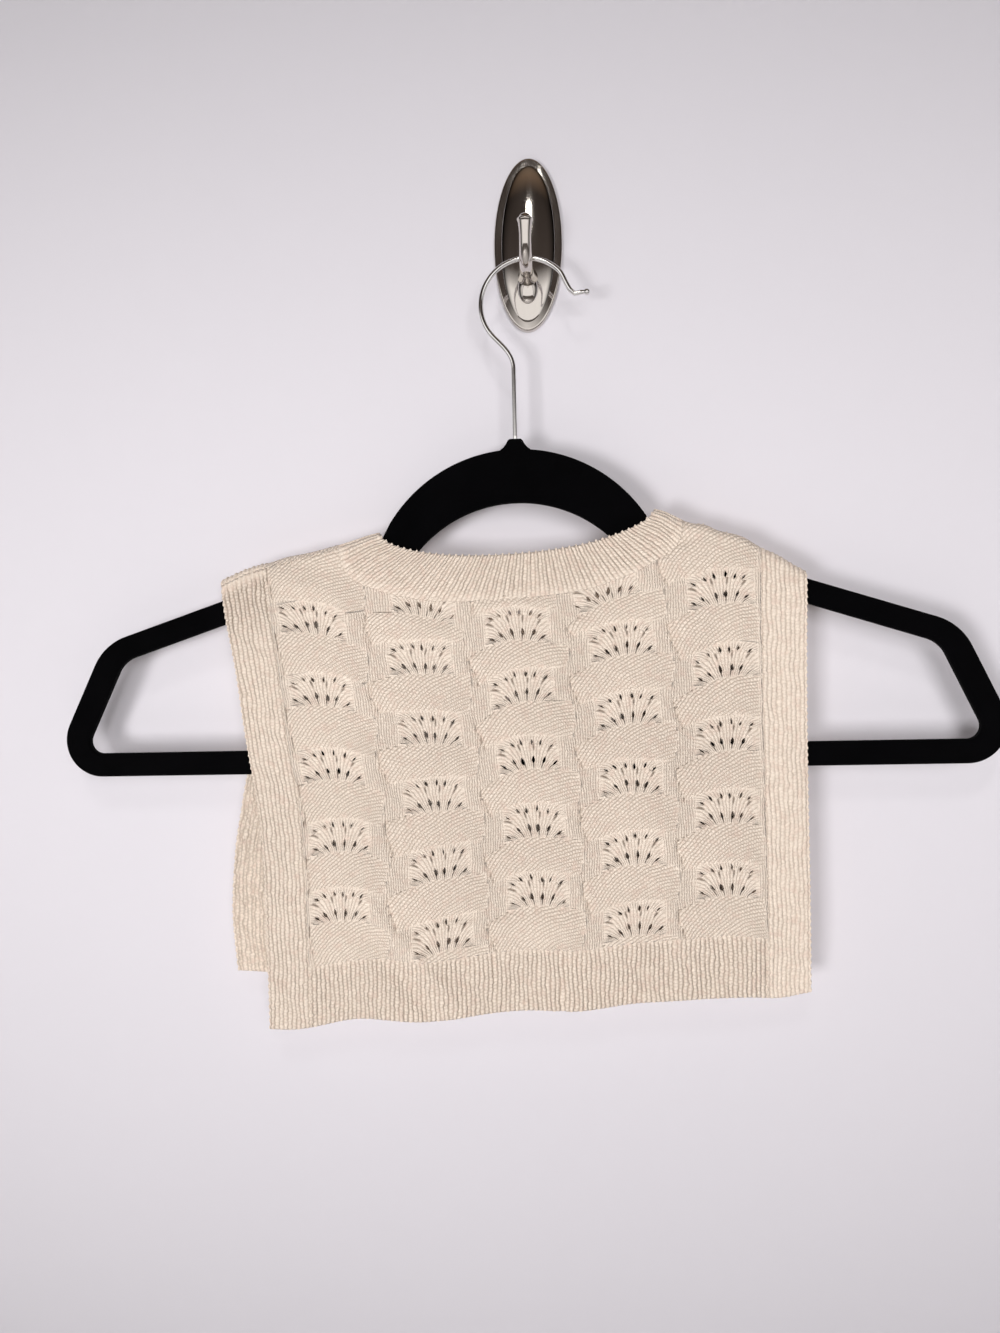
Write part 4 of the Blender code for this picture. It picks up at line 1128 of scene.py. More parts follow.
@dataclass
class LacePanel:
    """One lace panel between its borders, its hem and the neckband."""

    panel: PanelForm
    lace: ShellLace
    name: str
    seed: int
    step: float = 1.0
    tuck: float = 0.9
    wall: float = 1.3
    reach: float = 3.6

    def open_eyelets(self, across: np.ndarray, up: np.ndarray, grid: ClothGrid, kept: np.ndarray,
                     mirror: float, width: float) -> set[int]:
        """Part the cloth around each eyelet.

        Args:
            across: shares across the panel, changed in place.
            up: heights above the hem, changed in place.
            grid: the cloth's net.
            kept: which points are inside the panel's outline.
            mirror: 1, or -1 on a panel that is seen from the other side.
            width: the panel's width, in millimetres.

        Returns:
            The numbers of the points that the eyelets take out.
        """
        number = np.full((grid.columns + 1, grid.rows + 1), -1)
        number[grid.column, grid.row] = np.arange(len(across))
        flat_x, flat_up = across * width, up.copy()
        moved_x, moved_up = np.zeros_like(up), np.zeros_like(up)
        first_x, first_up = flat_x[number[0, 0]], flat_up[number[0, 0]]
        step_x = flat_x[number[1, 0]] - first_x
        step_up = flat_up[number[0, 1]] - first_up
        taken = set()
        for share, height, turn, length, wide in self.lace.eyelet_list(self.panel, mirror,
                                                                       random.Random(self.seed)):
            i = round((share * width - first_x) / step_x)
            j = round((height - first_up) / step_up)
            if not (4 < i < grid.columns - 4 and 3 < j < grid.rows - 4):
                continue
            window = number[i - 4:i + 5, j - 4:j + 5]
            if not kept[number[i - 2:i + 3, j - 2:j + 3]].all():
                continue
            centre = window[4, 4]
            near = window.ravel()
            off_x, off_up = flat_x[near] - flat_x[centre], flat_up[near] - flat_up[centre]
            along = off_x * math.sin(turn) + off_up * math.cos(turn)
            aside = off_x * math.cos(turn) - off_up * math.sin(turn)
            distance = np.hypot(along, aside)
            angle = np.arctan2(aside, along)
            cells = np.maximum(np.abs(off_x / step_x), np.abs(off_up / step_up))
            ring = distance / np.maximum(cells, 1e-6)
            eighth = math.pi / 4
            aligned = angle + (turn - round(turn / eighth) * eighth) * np.clip(1.35 - 0.35 * cells, 0, 1)
            half_wide = wide / 2 * (1 - 0.15 * np.cos(aligned))
            half_long = length / 2
            edge = half_long * half_wide / np.hypot(half_wide * np.cos(aligned), half_long * np.sin(aligned))
            target = edge + (distance - ring) * (self.reach - edge) / (self.reach - ring)
            moving = (cells > 0.5) & (distance < self.reach)
            goal_along, goal_aside = target * np.cos(aligned), target * np.sin(aligned)
            goal_x = goal_along * math.sin(turn) + goal_aside * math.cos(turn)
            goal_up = goal_along * math.cos(turn) - goal_aside * math.sin(turn)
            moved_x[near] += np.where(moving, goal_x - off_x, 0.0)
            moved_up[near] += np.where(moving, goal_up - off_up, 0.0)
            taken.add(int(centre))
        across += moved_x / width
        up += moved_up
        return taken

    def build(self, material: bpy.types.Material, nodes: Sequence[str]) -> bpy.types.Object:
        """Build the panel.

        Args:
            material: the knit finish.
            nodes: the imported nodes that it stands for.

        Returns:
            The finished piece.
        """
        panel, mirror = self.panel, -float(self.panel.side.value)
        width = panel.width(0.6)
        low = FORM.border_share - 0.4 / width
        high = 1 - low
        tall = float(np.max(panel.hem_top(np.linspace(low, high, 40)))) + 6.5
        grid = ClothGrid(round((high - low) * width / self.step), round((tall + 0.5) / self.step))
        across = low + (high - low) * grid.column / grid.columns
        up = -0.5 + (tall + 0.5) * grid.row / grid.rows

        down = panel.hem_top(across) - up
        x = panel.x_at(across, down)
        off_neck, out_x, out_down = SEWN_EDGE.outside(panel.side, x, down)
        off_neck = off_neck + self.tuck
        over_fold = down - panel.seam(across)
        near_neck = (x > SEWN_EDGE.left) & (x < SEWN_EDGE.right)
        off = np.where(near_neck, np.minimum(off_neck, over_fold), over_fold)
        kept = off > 0
        number = np.full((grid.columns + 1, grid.rows + 1), -1)
        number[grid.column, grid.row] = np.arange(len(x))
        inside = kept[number]
        grown = inside.copy()
        grown[1:] |= inside[:-1]
        grown[:-1] |= inside[1:]
        wider = grown.copy()
        wider[:, 1:] |= grown[:, :-1]
        wider[:, :-1] |= grown[:, 1:]
        rim = np.zeros(len(x), bool)
        rim[number[wider & ~inside]] = True
        by_neck = rim & near_neck & (off_neck < over_fold)
        by_fold = rim & ~by_neck
        shift = np.where(by_neck, -off_neck, 0.0)
        across = across + shift * out_x / width
        up = up - shift * out_down
        up = np.where(by_fold, panel.hem_top(across) - panel.seam(across), up)

        taken = self.open_eyelets(across, up, grid, kept, mirror, width)
        down = panel.hem_top(across) - up
        x = panel.x_at(across, down)
        lift, stitches = self.lace.relief(across, up, width, mirror)
        edge = smooth_step(0.0, 3.0, np.minimum(across - low, high - across) * width)
        edge *= smooth_step(0.0, 2.5, up + 0.5) * smooth_step(0.0, 3.0, np.abs(off))
        lift = self.wall / 2 + lift * (0.15 + 0.85 * edge) + 0.25
        grid.shape(FORM.points(panel.side, x, down, lift), stitches)

        lost = ~(kept | rim)
        gone = [grid.net.verts[i] for i in np.flatnonzero(lost)] + [grid.net.verts[i] for i in taken]
        outer = {i for i in np.flatnonzero(rim)}
        flat = [f for f in grid.net.faces if all(v.index in outer for v in f.verts)]
        bmesh.ops.delete(grid.net, geom=flat, context="FACES_ONLY")
        bmesh.ops.delete(grid.net, geom=[v for v in gone if v.is_valid], context="VERTS")
        loose = [v for v in grid.net.verts if not v.link_faces]
        bmesh.ops.delete(grid.net, geom=loose, context="VERTS")
        outward = Vector((0.0, float(panel.side.value), 0.0))
        piece = grid.finish(self.name, material, nodes, outward, self.wall)
        tall_cut = float(panel.hem_top(np.array([0.5]))[0])
        return piece


@dataclass
class RibbedStrip:
    """A ribbed border or hem of one panel, counted in ribs."""

    panel: PanelForm
    name: str
    low: float
    high: float
    ribs: int
    clear: float
    gathered: float = 0.0
    between: float = 0.7
    steps: int = 10
    row_step: float = 1.1
    rise: float = 0.45
    wall: float = 1.3
    course: float = 1.6

    def build(self, whole: bool, material: bpy.types.Material, nodes: Sequence[str]) -> bpy.types.Object:
        """Build the strip.

        Args:
            whole: True for a border, from the hem's edge to the shoulder, or False for a hem.
            material: the knit finish.
            nodes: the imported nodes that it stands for.

        Returns:
            The finished piece.
        """
        panel = self.panel
        width = panel.width(0.6)
        middle = np.array([(self.low + self.high) / 2])
        length = float(panel.length(middle)[0]) if whole else FORM.hem_height
        grid = ClothGrid(self.ribs * self.steps, round(length / self.row_step))
        share = grid.column / grid.columns
        across = self.low + (self.high - self.low) * share
        up_share = grid.row / grid.rows
        bottom = panel.length(across)
        top = panel.seam(across) if whole else panel.hem_top(across) - 0.3
        down = bottom + (top - bottom) * up_share
        up = bottom - down
        flat_x = across * width
        inner = smooth_step(0.0, 0.12, np.minimum(share, 1 - share))
        phase = share * self.ribs + sway(flat_x, up) * inner * self.ribs / (width * (self.high - self.low))
        to_top = down - top
        gather = self.gathered * smooth_step(34.0, 6.0, to_top) * whole
        ridge = rib_height(phase, self.between) * (1 + gather)
        cast_on = bell(up - 0.8, 1.0)
        sewn = bell(to_top - 0.5, 0.7) if whole else np.zeros_like(up)
        lift = self.wall / 2 + self.rise * ridge * (1 - 0.35 * cast_on) + 0.3 * cast_on - 0.4 * sewn
        edge_x = np.minimum(share, 1 - share) * self.ribs
        rough = 0.3 * np.sin(up * TURN / 3.2) * bell(edge_x, 0.35)
        x = panel.x_at(across, down) + np.sign(share - 0.5) * rough
        down = down + 0.45 * cast_on * ridge
        places = FORM.points(panel.side, x, down, lift)
        clear = np.clip(self.clear * (1 + 0.5 * gather), 0.0, 1.0)
        clear = clear * (smooth_step(-1.0, 7.0, to_top) if whole else smooth_step(-2.0, 3.0, to_top))
        stitches = rib_stitches(phase, up / self.course, clear)
        if whole:
            # Painted shade: a dark line along the shoulder seam.
            crease = stitches["Crease"]
            crease[:, 0] = np.minimum(crease[:, 0], np.abs(to_top - 0.4))
        grid.shape(places, stitches)
        outward = Vector((0.0, float(panel.side.value), 0.0))
        piece = grid.finish(self.name, material, nodes, outward, self.wall)
        return piece


@dataclass
class Neckband:
    """The ribbed neckband: one ring over the hanger at both shoulders."""

    rib_pitch: float = 3.76
    steps: int = 10
    rows: int = 20
    rise: float = 0.6
    wall: float = 1.4
    deep: float = 21.0
    course: float = 1.6

    def even(self, points: np.ndarray, count: int) -> np.ndarray:
        """Points evenly spaced along a line of close points."""
        reach = np.concatenate([[0.0], np.cumsum(np.linalg.norm(np.diff(points, axis=0), axis=1))])
        goal = np.linspace(0.0, reach[-1], count + 1)
        return np.stack([np.interp(goal, reach, points[:, 0]), np.interp(goal, reach, points[:, 1])], axis=-1)

    def build(self, material: bpy.types.Material, nodes: Sequence[str]) -> bpy.types.Object:
        """Build the ring.

        Args:
            material: the knit finish.
            nodes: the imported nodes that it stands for.

        Returns:
            The finished piece.
        """
        free, sewn, sides, ribs, around = [], [], [], 0, 0.0
        for side in Side:
            edges = FREE_EDGE.half(side), SEWN_EDGE.half(side)
            middle = (edges[0] + edges[1]) / 2
            length = float(np.linalg.norm(np.diff(middle, axis=0), axis=1).sum())
            count = round(length / self.rib_pitch)
            pair = [self.even(edge, count * self.steps) for edge in edges]
            if side is Side.FRONT:
                pair = [edge[::-1] for edge in pair]
            free.append(pair[0][:-1])
            sewn.append(pair[1][:-1])
            sides += [side.value] * (count * self.steps)
            ribs += count
            around += length
        free, sewn = np.concatenate(free + [free[0][:1]]), np.concatenate(sewn + [sewn[0][:1]])
        sides = np.array(sides + [sides[0]])
        grid = ClothGrid(ribs * self.steps, self.rows)
        share = (grid.row / grid.rows)[:, None]
        flat = free[grid.column] * (1 - share) + sewn[grid.column] * share
        side = sides[grid.column]
        depth = share[:, 0]
        phase = grid.column / self.steps
        ridge = rib_height(phase, 0.3)
        bound = bell(depth - 0.03, 0.05)
        seam = bell(depth - 0.94, 0.04)
        lift = (self.wall / 2 + 0.25 + self.rise * ridge * (1 - 0.4 * bound) * (1 - 0.6 * seam)
                + 0.3 * bound + 0.2 * seam - 0.25 * smooth_step(0.96, 1.0, depth))
        down = flat[:, 1] - 0.9 * ridge * bell(depth, 0.07)
        back = FORM.points(Side.BACK, flat[:, 0], down, lift)
        front = FORM.points(Side.FRONT, flat[:, 0], down, lift)
        places = np.where((side < 0)[:, None], back, front)
        clear = 0.72 - 0.3 * smooth_step(0.7, 1.0, depth)
        stitches = rib_stitches(phase, depth * self.deep / self.course, clear)
        # Painted shade: a dark line along the sewn edge, strongest at the back's middle.
        crease = stitches["Crease"]
        shown = 0.22 + 0.78 * bell(flat[:, 0] + 1.0, 26.0) * (side < 0)
        crease[:, 0] = np.minimum(crease[:, 0], ((1.0 - depth) * self.deep + 0.05) / shown)
        grid.shape(places, stitches)
        bmesh.ops.remove_doubles(grid.net, verts=grid.net.verts, dist=0.02 * MM)
        bmesh.ops.recalc_face_normals(grid.net, faces=grid.net.faces)
        lowest = min(grid.net.faces, key=lambda f: f.calc_center_median().y)
        if lowest.normal.y > 0:
            bmesh.ops.reverse_faces(grid.net, faces=grid.net.faces)
        piece = grid.thicken("neckband_rib", material, nodes, self.wall)
        return piece


@dataclass
class Vest:
    """The whole knitted vest: two panels with their trims, and the neckband."""

    lace: ShellLace = field(default_factory=ShellLace)
    border_ribs: int = 5
    hem_pitch: float = 4.2

    def build(self) -> list[bpy.types.Object]:
        """Build every cloth piece.

        Returns:
            The finished pieces.
        """
        stitches = stitch_group()
        ground = KnitFinish("oatmeal_lace").make(stitches)
        ribbing = KnitFinish("oatmeal_rib", hollow=0.7).make(stitches)
        pieces = []
        share = FORM.border_share
        for panel, side, seed in ((BACK, "back", 5), (FRONT, "front", 11)):
            pieces.append(LacePanel(panel, self.lace, f"{side}_lace_panel", seed).build(
                ground, [f"{side}_panel"]))
            hem_width = panel.width(1.0) * (1 - 2 * share)
            pieces.append(RibbedStrip(panel, f"{side}_hem_rib", share, 1 - share,
                                      round(hem_width / self.hem_pitch), 0.85).build(
                False, ribbing, [f"{side}_hem"]))
            for edge, low, clear, gathered in ((Edge.LEFT, 0.0, 0.7, 1.6), (Edge.RIGHT, 1 - share, 0.5, 0.4)):
                title = edge.name.lower()
                pieces.append(RibbedStrip(panel, f"{side}_{title}_border_rib", low, low + share,
                                          self.border_ribs, clear, gathered, rise=0.32).build(
                    True, ribbing, [f"{side}_{title}_border"]))
        pieces.append(Neckband().build(ribbing, ["neckband"]))
        return pieces


@dataclass
class Hanger:
    """The flocked frame, from its arch, arms, rounded ends and bar, in millimetres."""

    thick: float = 5.0
    edge_round: float = 1.4
    outer_radius: float = 72.0
    outer_top: float = -2.2
    inner_radius: float = 63.0
    inner_top: float = -27.5
    arm_reach: float = 145.0
    arm_top: float = -70.8
    arm_bottom: float = -82.4
    arm_slope: float = 0.328
    end_reach: float = 213.9
    end_z: float = -114.0
    end_slope: float = 2.145
    end_band: float = 13.4
    bar_top: float = -142.7
    bar_bottom: float = -154.0
    shoulder_round: float = 26.0
    bar_round: float = 18.0
    band: float = 12.0
    notch_round: float = 5.0

    def arch(self, radius: float, top: float, x: float) -> Vector:
        """A point of a round arch."""
        return Vector((x, top - radius + math.sqrt(radius * radius - x * x)))

    def arch_run(self, radius: float, top: float, low: float, high: float, steps: int) -> list[Vector]:
        """Even points of a round arch between two places across it."""
        start, end = math.asin(low / radius), math.asin(high / radius)
        return [self.arch(radius, top, radius * math.sin(start + (end - start) * i / steps))
                for i in range(steps + 1)]

    def meeting(self, radius: float, top: float, edge_z: float) -> float:
        """How far out an arch comes down to a sloping edge of the arm."""
        spots = np.linspace(0.0, radius * 0.999, 4000)
        arch = top - radius + np.sqrt(radius * radius - spots ** 2)
        line = edge_z - self.arm_slope * (spots - self.arm_reach)
        return float(spots[np.argmax(arch < line)])

    def crossing(self, edge_z: float, reach: float) -> Vector:
        """Where an arm's edge meets the end's edge."""
        x = ((self.end_z - edge_z - self.arm_slope * self.arm_reach + self.end_slope * reach)
             / (self.end_slope - self.arm_slope))
        return Vector((x, edge_z - self.arm_slope * (x - self.arm_reach)))

    def outlines(self) -> list[list[Vector]]:
        """Draw the frame.

        Returns:
            Its outer and inner outlines, as closed rows of points.
        """
        meet = self.meeting(self.outer_radius, self.outer_top, self.arm_top)
        notch = self.arch(self.outer_radius, self.outer_top, meet)
        above = self.arch(self.outer_radius, self.outer_top, meet - self.notch_round)
        shoulder = self.crossing(self.arm_top, self.end_reach)
        low = Vector((self.end_reach + (self.end_z - self.bar_bottom) / self.end_slope, self.bar_bottom))
        outer = [Vector((2.7, 2.7)), Vector((3.6, 1.9)), Vector((4.4, 0.4)), Vector((5.6, -1.2))]
        outer += self.arch_run(self.outer_radius, self.outer_top, 7.4, above.x, 34)
        outer += round_corner(above, notch, shoulder, self.notch_round, 5)
        outer += round_corner(notch, shoulder, low, self.shoulder_round, 16)
        outer += round_corner(shoulder, low, Vector((0.0, self.bar_bottom)), self.bar_round, 22)

        meet = self.meeting(self.inner_radius, self.inner_top, self.arm_bottom)
        reach = self.end_reach - self.end_band
        shoulder_in = self.crossing(self.arm_bottom, reach)
        low_in = Vector((reach + (self.end_z - self.bar_top) / self.end_slope, self.bar_top))
        inner = self.arch_run(self.inner_radius, self.inner_top, 0.0, meet, 26)[1:]
        inner += round_corner(inner[-1], shoulder_in, low_in, self.shoulder_round - self.band, 14)
        bar_middle = Vector((0.0, self.bar_top))
        inner += round_corner(shoulder_in, low_in, bar_middle, self.bar_round - self.band, 14)
        return [half + [Vector((-p.x, p.y)) for p in reversed(half)] for half in (outer, inner)]

    def build(self, finish: FlockFinish) -> bpy.types.Object:
        """Build the frame.

        Args:
            finish: its flock.

        Returns:
            The finished piece.
        """
        curve = bpy.data.curves.new("hanger_outline", "CURVE")
        curve.dimensions = "2D"
        curve.fill_mode = "BOTH"
        curve.extrude = (self.thick / 2 - self.edge_round) * MM
        curve.bevel_depth = self.edge_round * MM
        curve.bevel_resolution = 5
        curve.offset = -self.edge_round * MM
        for outline in self.outlines():
            spline = curve.splines.new("POLY")
            spline.points.add(len(outline) - 1)
            for point, spot in zip(spline.points, outline):
                point.co = (spot.x * MM, spot.y * MM, 0.0, 1.0)
            spline.use_cyclic_u = True
        mesh = curve_mesh(curve, HANGER_PLACE @ Matrix.Rotation(math.radians(90), 4, "X"))
        return add_piece("hanger_flocked", mesh, finish.make(), ["hanger_frame"])


@dataclass
class WireHook:
    """The hanger's wire hook: stem, bend, crook and balled tip, in millimetres."""

    radius: float = 1.18
    foot: float = -2.0
    stem_top: float = 36.0
    crook_radius: float = 21.9
    crook_x: float = 6.9
    crook_z: float = 66.4
    crook_start: float = math.radians(222.0)
    crook_end: float = math.radians(44.0)
    knee: tuple[float, float] = (28.9, 70.8)
    tip: tuple[float, float] = (35.4, 70.9)
    ball: float = 1.55

    def on_crook(self, angle: float) -> Vector:
        """A point of the crook."""
        return Vector((self.crook_x + self.crook_radius * math.cos(angle), 0.0,
                       self.crook_z + self.crook_radius * math.sin(angle)))

    def bend(self, start: Vector, start_pull: Vector, end: Vector, end_pull: Vector,
             steps: int) -> list[Vector]:
        """Points of an even bend, pulled along two directions."""
        shares = [i / steps for i in range(1, steps)]
        return [start * (1 - t) ** 3 + (start + start_pull) * 3 * t * (1 - t) ** 2
                + (end + end_pull) * 3 * t * t * (1 - t) + end * t ** 3 for t in shares]

    def stations(self) -> list[tuple[Vector, float]]:
        """Lay out the wire, from its foot to its balled tip.

        Returns:
            The points of its middle line, each with the wire's radius there.
        """
        line = [Vector((0.0, 0.0, self.foot + (self.stem_top - self.foot) * i / 6)) for i in range(7)]
        start = self.on_crook(self.crook_start)
        along = Vector((math.sin(self.crook_start), 0.0, -math.cos(self.crook_start)))
        line += self.bend(line[-1], Vector((0.0, 0.0, 7.0)), start, along * -7.0, 14)
        turn = self.crook_end - self.crook_start
        line += [self.on_crook(self.crook_start + turn * i / 60) for i in range(61)]
        end_pull = Vector((math.sin(self.crook_end), 0.0, -math.cos(self.crook_end))) * 3.0
        knee, tip = Vector((self.knee[0], 0.0, self.knee[1])), Vector((self.tip[0], 0.0, self.tip[1]))
        line += self.bend(line[-1], end_pull, knee, Vector((-3.0, 0.0, 3.0)), 7)
        line += self.bend(knee, Vector((0.9, 0.0, -0.9)), tip - Vector((2.5, 0.0, 0.0)),
                          Vector((-1.2, 0.0, 0.0)), 5)
        line.append(tip - Vector((2.2, 0.0, 0.0)))
        stations = [(spot, self.radius) for spot in line]
        for i in range(12):
            angle = math.radians(38 + 140 * i / 11)
            stations.append((tip - Vector((math.cos(angle) * self.ball, 0.0, 0.0)),
                             self.ball * math.sin(angle) + 0.02))
        return stations

    def build(self, material: bpy.types.Material) -> bpy.types.Object:
        """Build the wire.

        Args:
            material: its plated finish.

        Returns:
            The finished piece.
        """
        curve = bpy.data.curves.new("wire_line", "CURVE")
        curve.dimensions = "3D"
        curve.bevel_depth = 1.0 * MM
        curve.bevel_resolution = 8
        curve.use_fill_caps = True
        stations = self.stations()
        spline = curve.splines.new("POLY")
        spline.points.add(len(stations) - 1)
        for point, (spot, radius) in zip(spline.points, stations):
            point.co = (*(spot * MM), 1.0)
            point.radius = radius
        return add_piece("wire_hook_plated", curve_mesh(curve, HANGER_PLACE), material, ["wire_hook"])


@dataclass
class WallHook:
    """The oval wall plate, its dome and its J-shaped arm, in millimetres."""

    width: float = 33.8
    height: float = 85.4
    thick: float = 3.0
    edge_round: float = 1.1
    dome_inset: float = 3.2
    dome_rise: float = 3.4
    dome_sink: float = 1.0
    dome_cut: float = 0.6
    drop_size: tuple[float, float, float] = (10.6, 9.0, 20.8)
    drop_place: tuple[float, float, float] = (0.0, -3.5, -19.0)
    arm: SmoothTable = field(default_factory=lambda: SmoothTable(
        (0.0, 0.06, 0.12, 0.22, 0.36, 0.50, 0.60, 0.70, 0.79, 0.87, 0.93, 0.97, 1.0),
        (5.2, 4.9, 4.3, 3.5, 3.15, 3.05, 2.85, 2.8, 3.0, 3.4, 3.8, 3.7, 2.9)))

    def path(self, count: int) -> list[Vector]:
        """Lay out the arm, from the plate out and up to its tip.

        Args:
            count: how many points to give.

        Returns:
            The points of its middle line.
        """
        spots = [(2.5, -17.0), (8.0, -18.0), (14.0, -19.0), (20.0, -19.5), (25.0, -19.2), (29.0, -17.2),
                 (32.0, -13.6), (33.6, -9.4), (34.4, -5.4), (34.7, -2.6), (34.8, -1.2)]
        keys = list(range(len(spots)))
        out, up = (SmoothTable(keys, [s[i] for s in spots]) for i in (0, 1))
        places = np.linspace(0, len(spots) - 1, count)
        return [Vector((0.0, -float(a), float(b))) for a, b in zip(out(places), up(places))]

    def cut_back(self, ball: bmesh.types.BMesh, back: float) -> None:
        """Cut a ball flat where it sinks into the plate.

        Args:
            ball: the ball, changed in place.
            back: where its flat back lies along Y, in millimetres.
        """
        everything = ball.verts[:] + ball.edges[:] + ball.faces[:]
        cut = bmesh.ops.bisect_plane(ball, geom=everything, plane_co=(0.0, back * MM, 0.0),
                                     plane_no=(0.0, 1.0, 0.0), clear_outer=True)
        rim = [item for item in cut["geom_cut"] if isinstance(item, bmesh.types.BMEdge)]
        bmesh.ops.edgeloop_fill(ball, edges=rim)
        bmesh.ops.recalc_face_normals(ball, faces=ball.faces)

    def build(self, material: bpy.types.Material) -> list[bpy.types.Object]:
        """Build the plate, the dome and the arm.

        Args:
            material: brushed nickel.

        Returns:
            The finished pieces.
        """
        plate = bmesh.new()
        disc = bmesh.ops.create_circle(plate, cap_ends=True, segments=128, radius=1.0)
        bmesh.ops.scale(plate, verts=disc["verts"], vec=Vector((self.width / 2, self.height / 2, 1.0)) * MM)
        bmesh.ops.rotate(plate, verts=plate.verts, matrix=Matrix.Rotation(math.radians(90), 3, "X"))
        swept = bmesh.ops.extrude_face_region(plate, geom=plate.faces[:])
        moved = [v for v in swept["geom"] if isinstance(v, bmesh.types.BMVert)]
        bmesh.ops.translate(plate, verts=moved, vec=Vector((0.0, -self.thick * MM, 0.0)))
        bmesh.ops.recalc_face_normals(plate, faces=plate.faces)
        rim = [e for e in plate.edges if all(abs(v.co.y + self.thick * MM) < 1e-7 for v in e.verts)]
        bmesh.ops.bevel(plate, geom=rim, offset=self.edge_round * MM, offset_type="OFFSET", segments=6,
                        profile=0.5, affect="EDGES", material=-1)
        mesh = bpy.data.meshes.new("wall_plate")
        plate.to_mesh(mesh)
        plate.free()
        pieces = [add_piece("wall_plate", mesh, material, ["wall_hook"])]
        pieces[0].data.set_sharp_from_angle(angle=math.radians(50))

        dome = bmesh.new()
        bmesh.ops.create_uvsphere(dome, u_segments=96, v_segments=64, radius=1.0)
        size = Vector((self.width / 2 - self.dome_inset, self.dome_rise + self.dome_sink,
                       self.height / 2 - self.dome_inset))
        bmesh.ops.scale(dome, verts=dome.verts, vec=size * MM)
        seat = Vector((0.0, self.dome_sink - self.thick, 0.0))
        bmesh.ops.translate(dome, verts=dome.verts, vec=seat * MM)
        self.cut_back(dome, self.dome_cut - self.thick)
        mesh = bpy.data.meshes.new("wall_dome")
        dome.to_mesh(mesh)
        dome.free()
        pieces.append(add_piece("wall_dome", mesh, material))

        curve = bpy.data.curves.new("arm_line", "CURVE")
        curve.dimensions = "3D"
        curve.bevel_depth = 1.0 * MM
        curve.bevel_resolution = 12
        curve.use_fill_caps = True
        path = self.path(90)
        spline = curve.splines.new("POLY")
        turns = [math.radians(80 - 9 * i) for i in range(9)]
        rounding = [math.sin(turn) for turn in turns]
        end = float(self.arm(1.0))
        tops = [path[-1] + Vector((0.0, -0.02, end * 0.75 * math.cos(turn))) for turn in turns]
        spline.points.add(len(path) + len(tops) - 1)
        for i, spot in enumerate(path):
            spline.points[i].co = (*(spot * MM), 1.0)
            spline.points[i].radius = float(self.arm(i / (len(path) - 1)))
        for i, (spot, share) in enumerate(zip(tops, rounding)):
            spline.points[len(path) + i].co = (*(spot * MM), 1.0)
            spline.points[len(path) + i].radius = end * share
        mesh = curve_mesh(curve, Matrix.Identity(4))
        pieces.append(add_piece("wall_hook_arm", mesh, material))

        drop = bmesh.new()
        bmesh.ops.create_uvsphere(drop, u_segments=48, v_segments=32, radius=0.5)
        bmesh.ops.scale(drop, verts=drop.verts, vec=Vector(self.drop_size) * MM)
        for vert in drop.verts:
            share = vert.co.z / (self.drop_size[2] * MM)
            vert.co.x *= 1.0 + 0.22 * math.sin(math.pi * min(0.5, max(-0.5, -share * 0.9)))
            vert.co.z -= 1.2 * MM * max(0.0, -share) * 2
        bmesh.ops.translate(drop, verts=drop.verts, vec=Vector(self.drop_place) * MM)
        self.cut_back(drop, -self.thick / 2)
        mesh = bpy.data.meshes.new("wall_hook_drop")
        drop.to_mesh(mesh)
        drop.free()
        pieces.append(add_piece("wall_hook_drop", mesh, material))
        return pieces


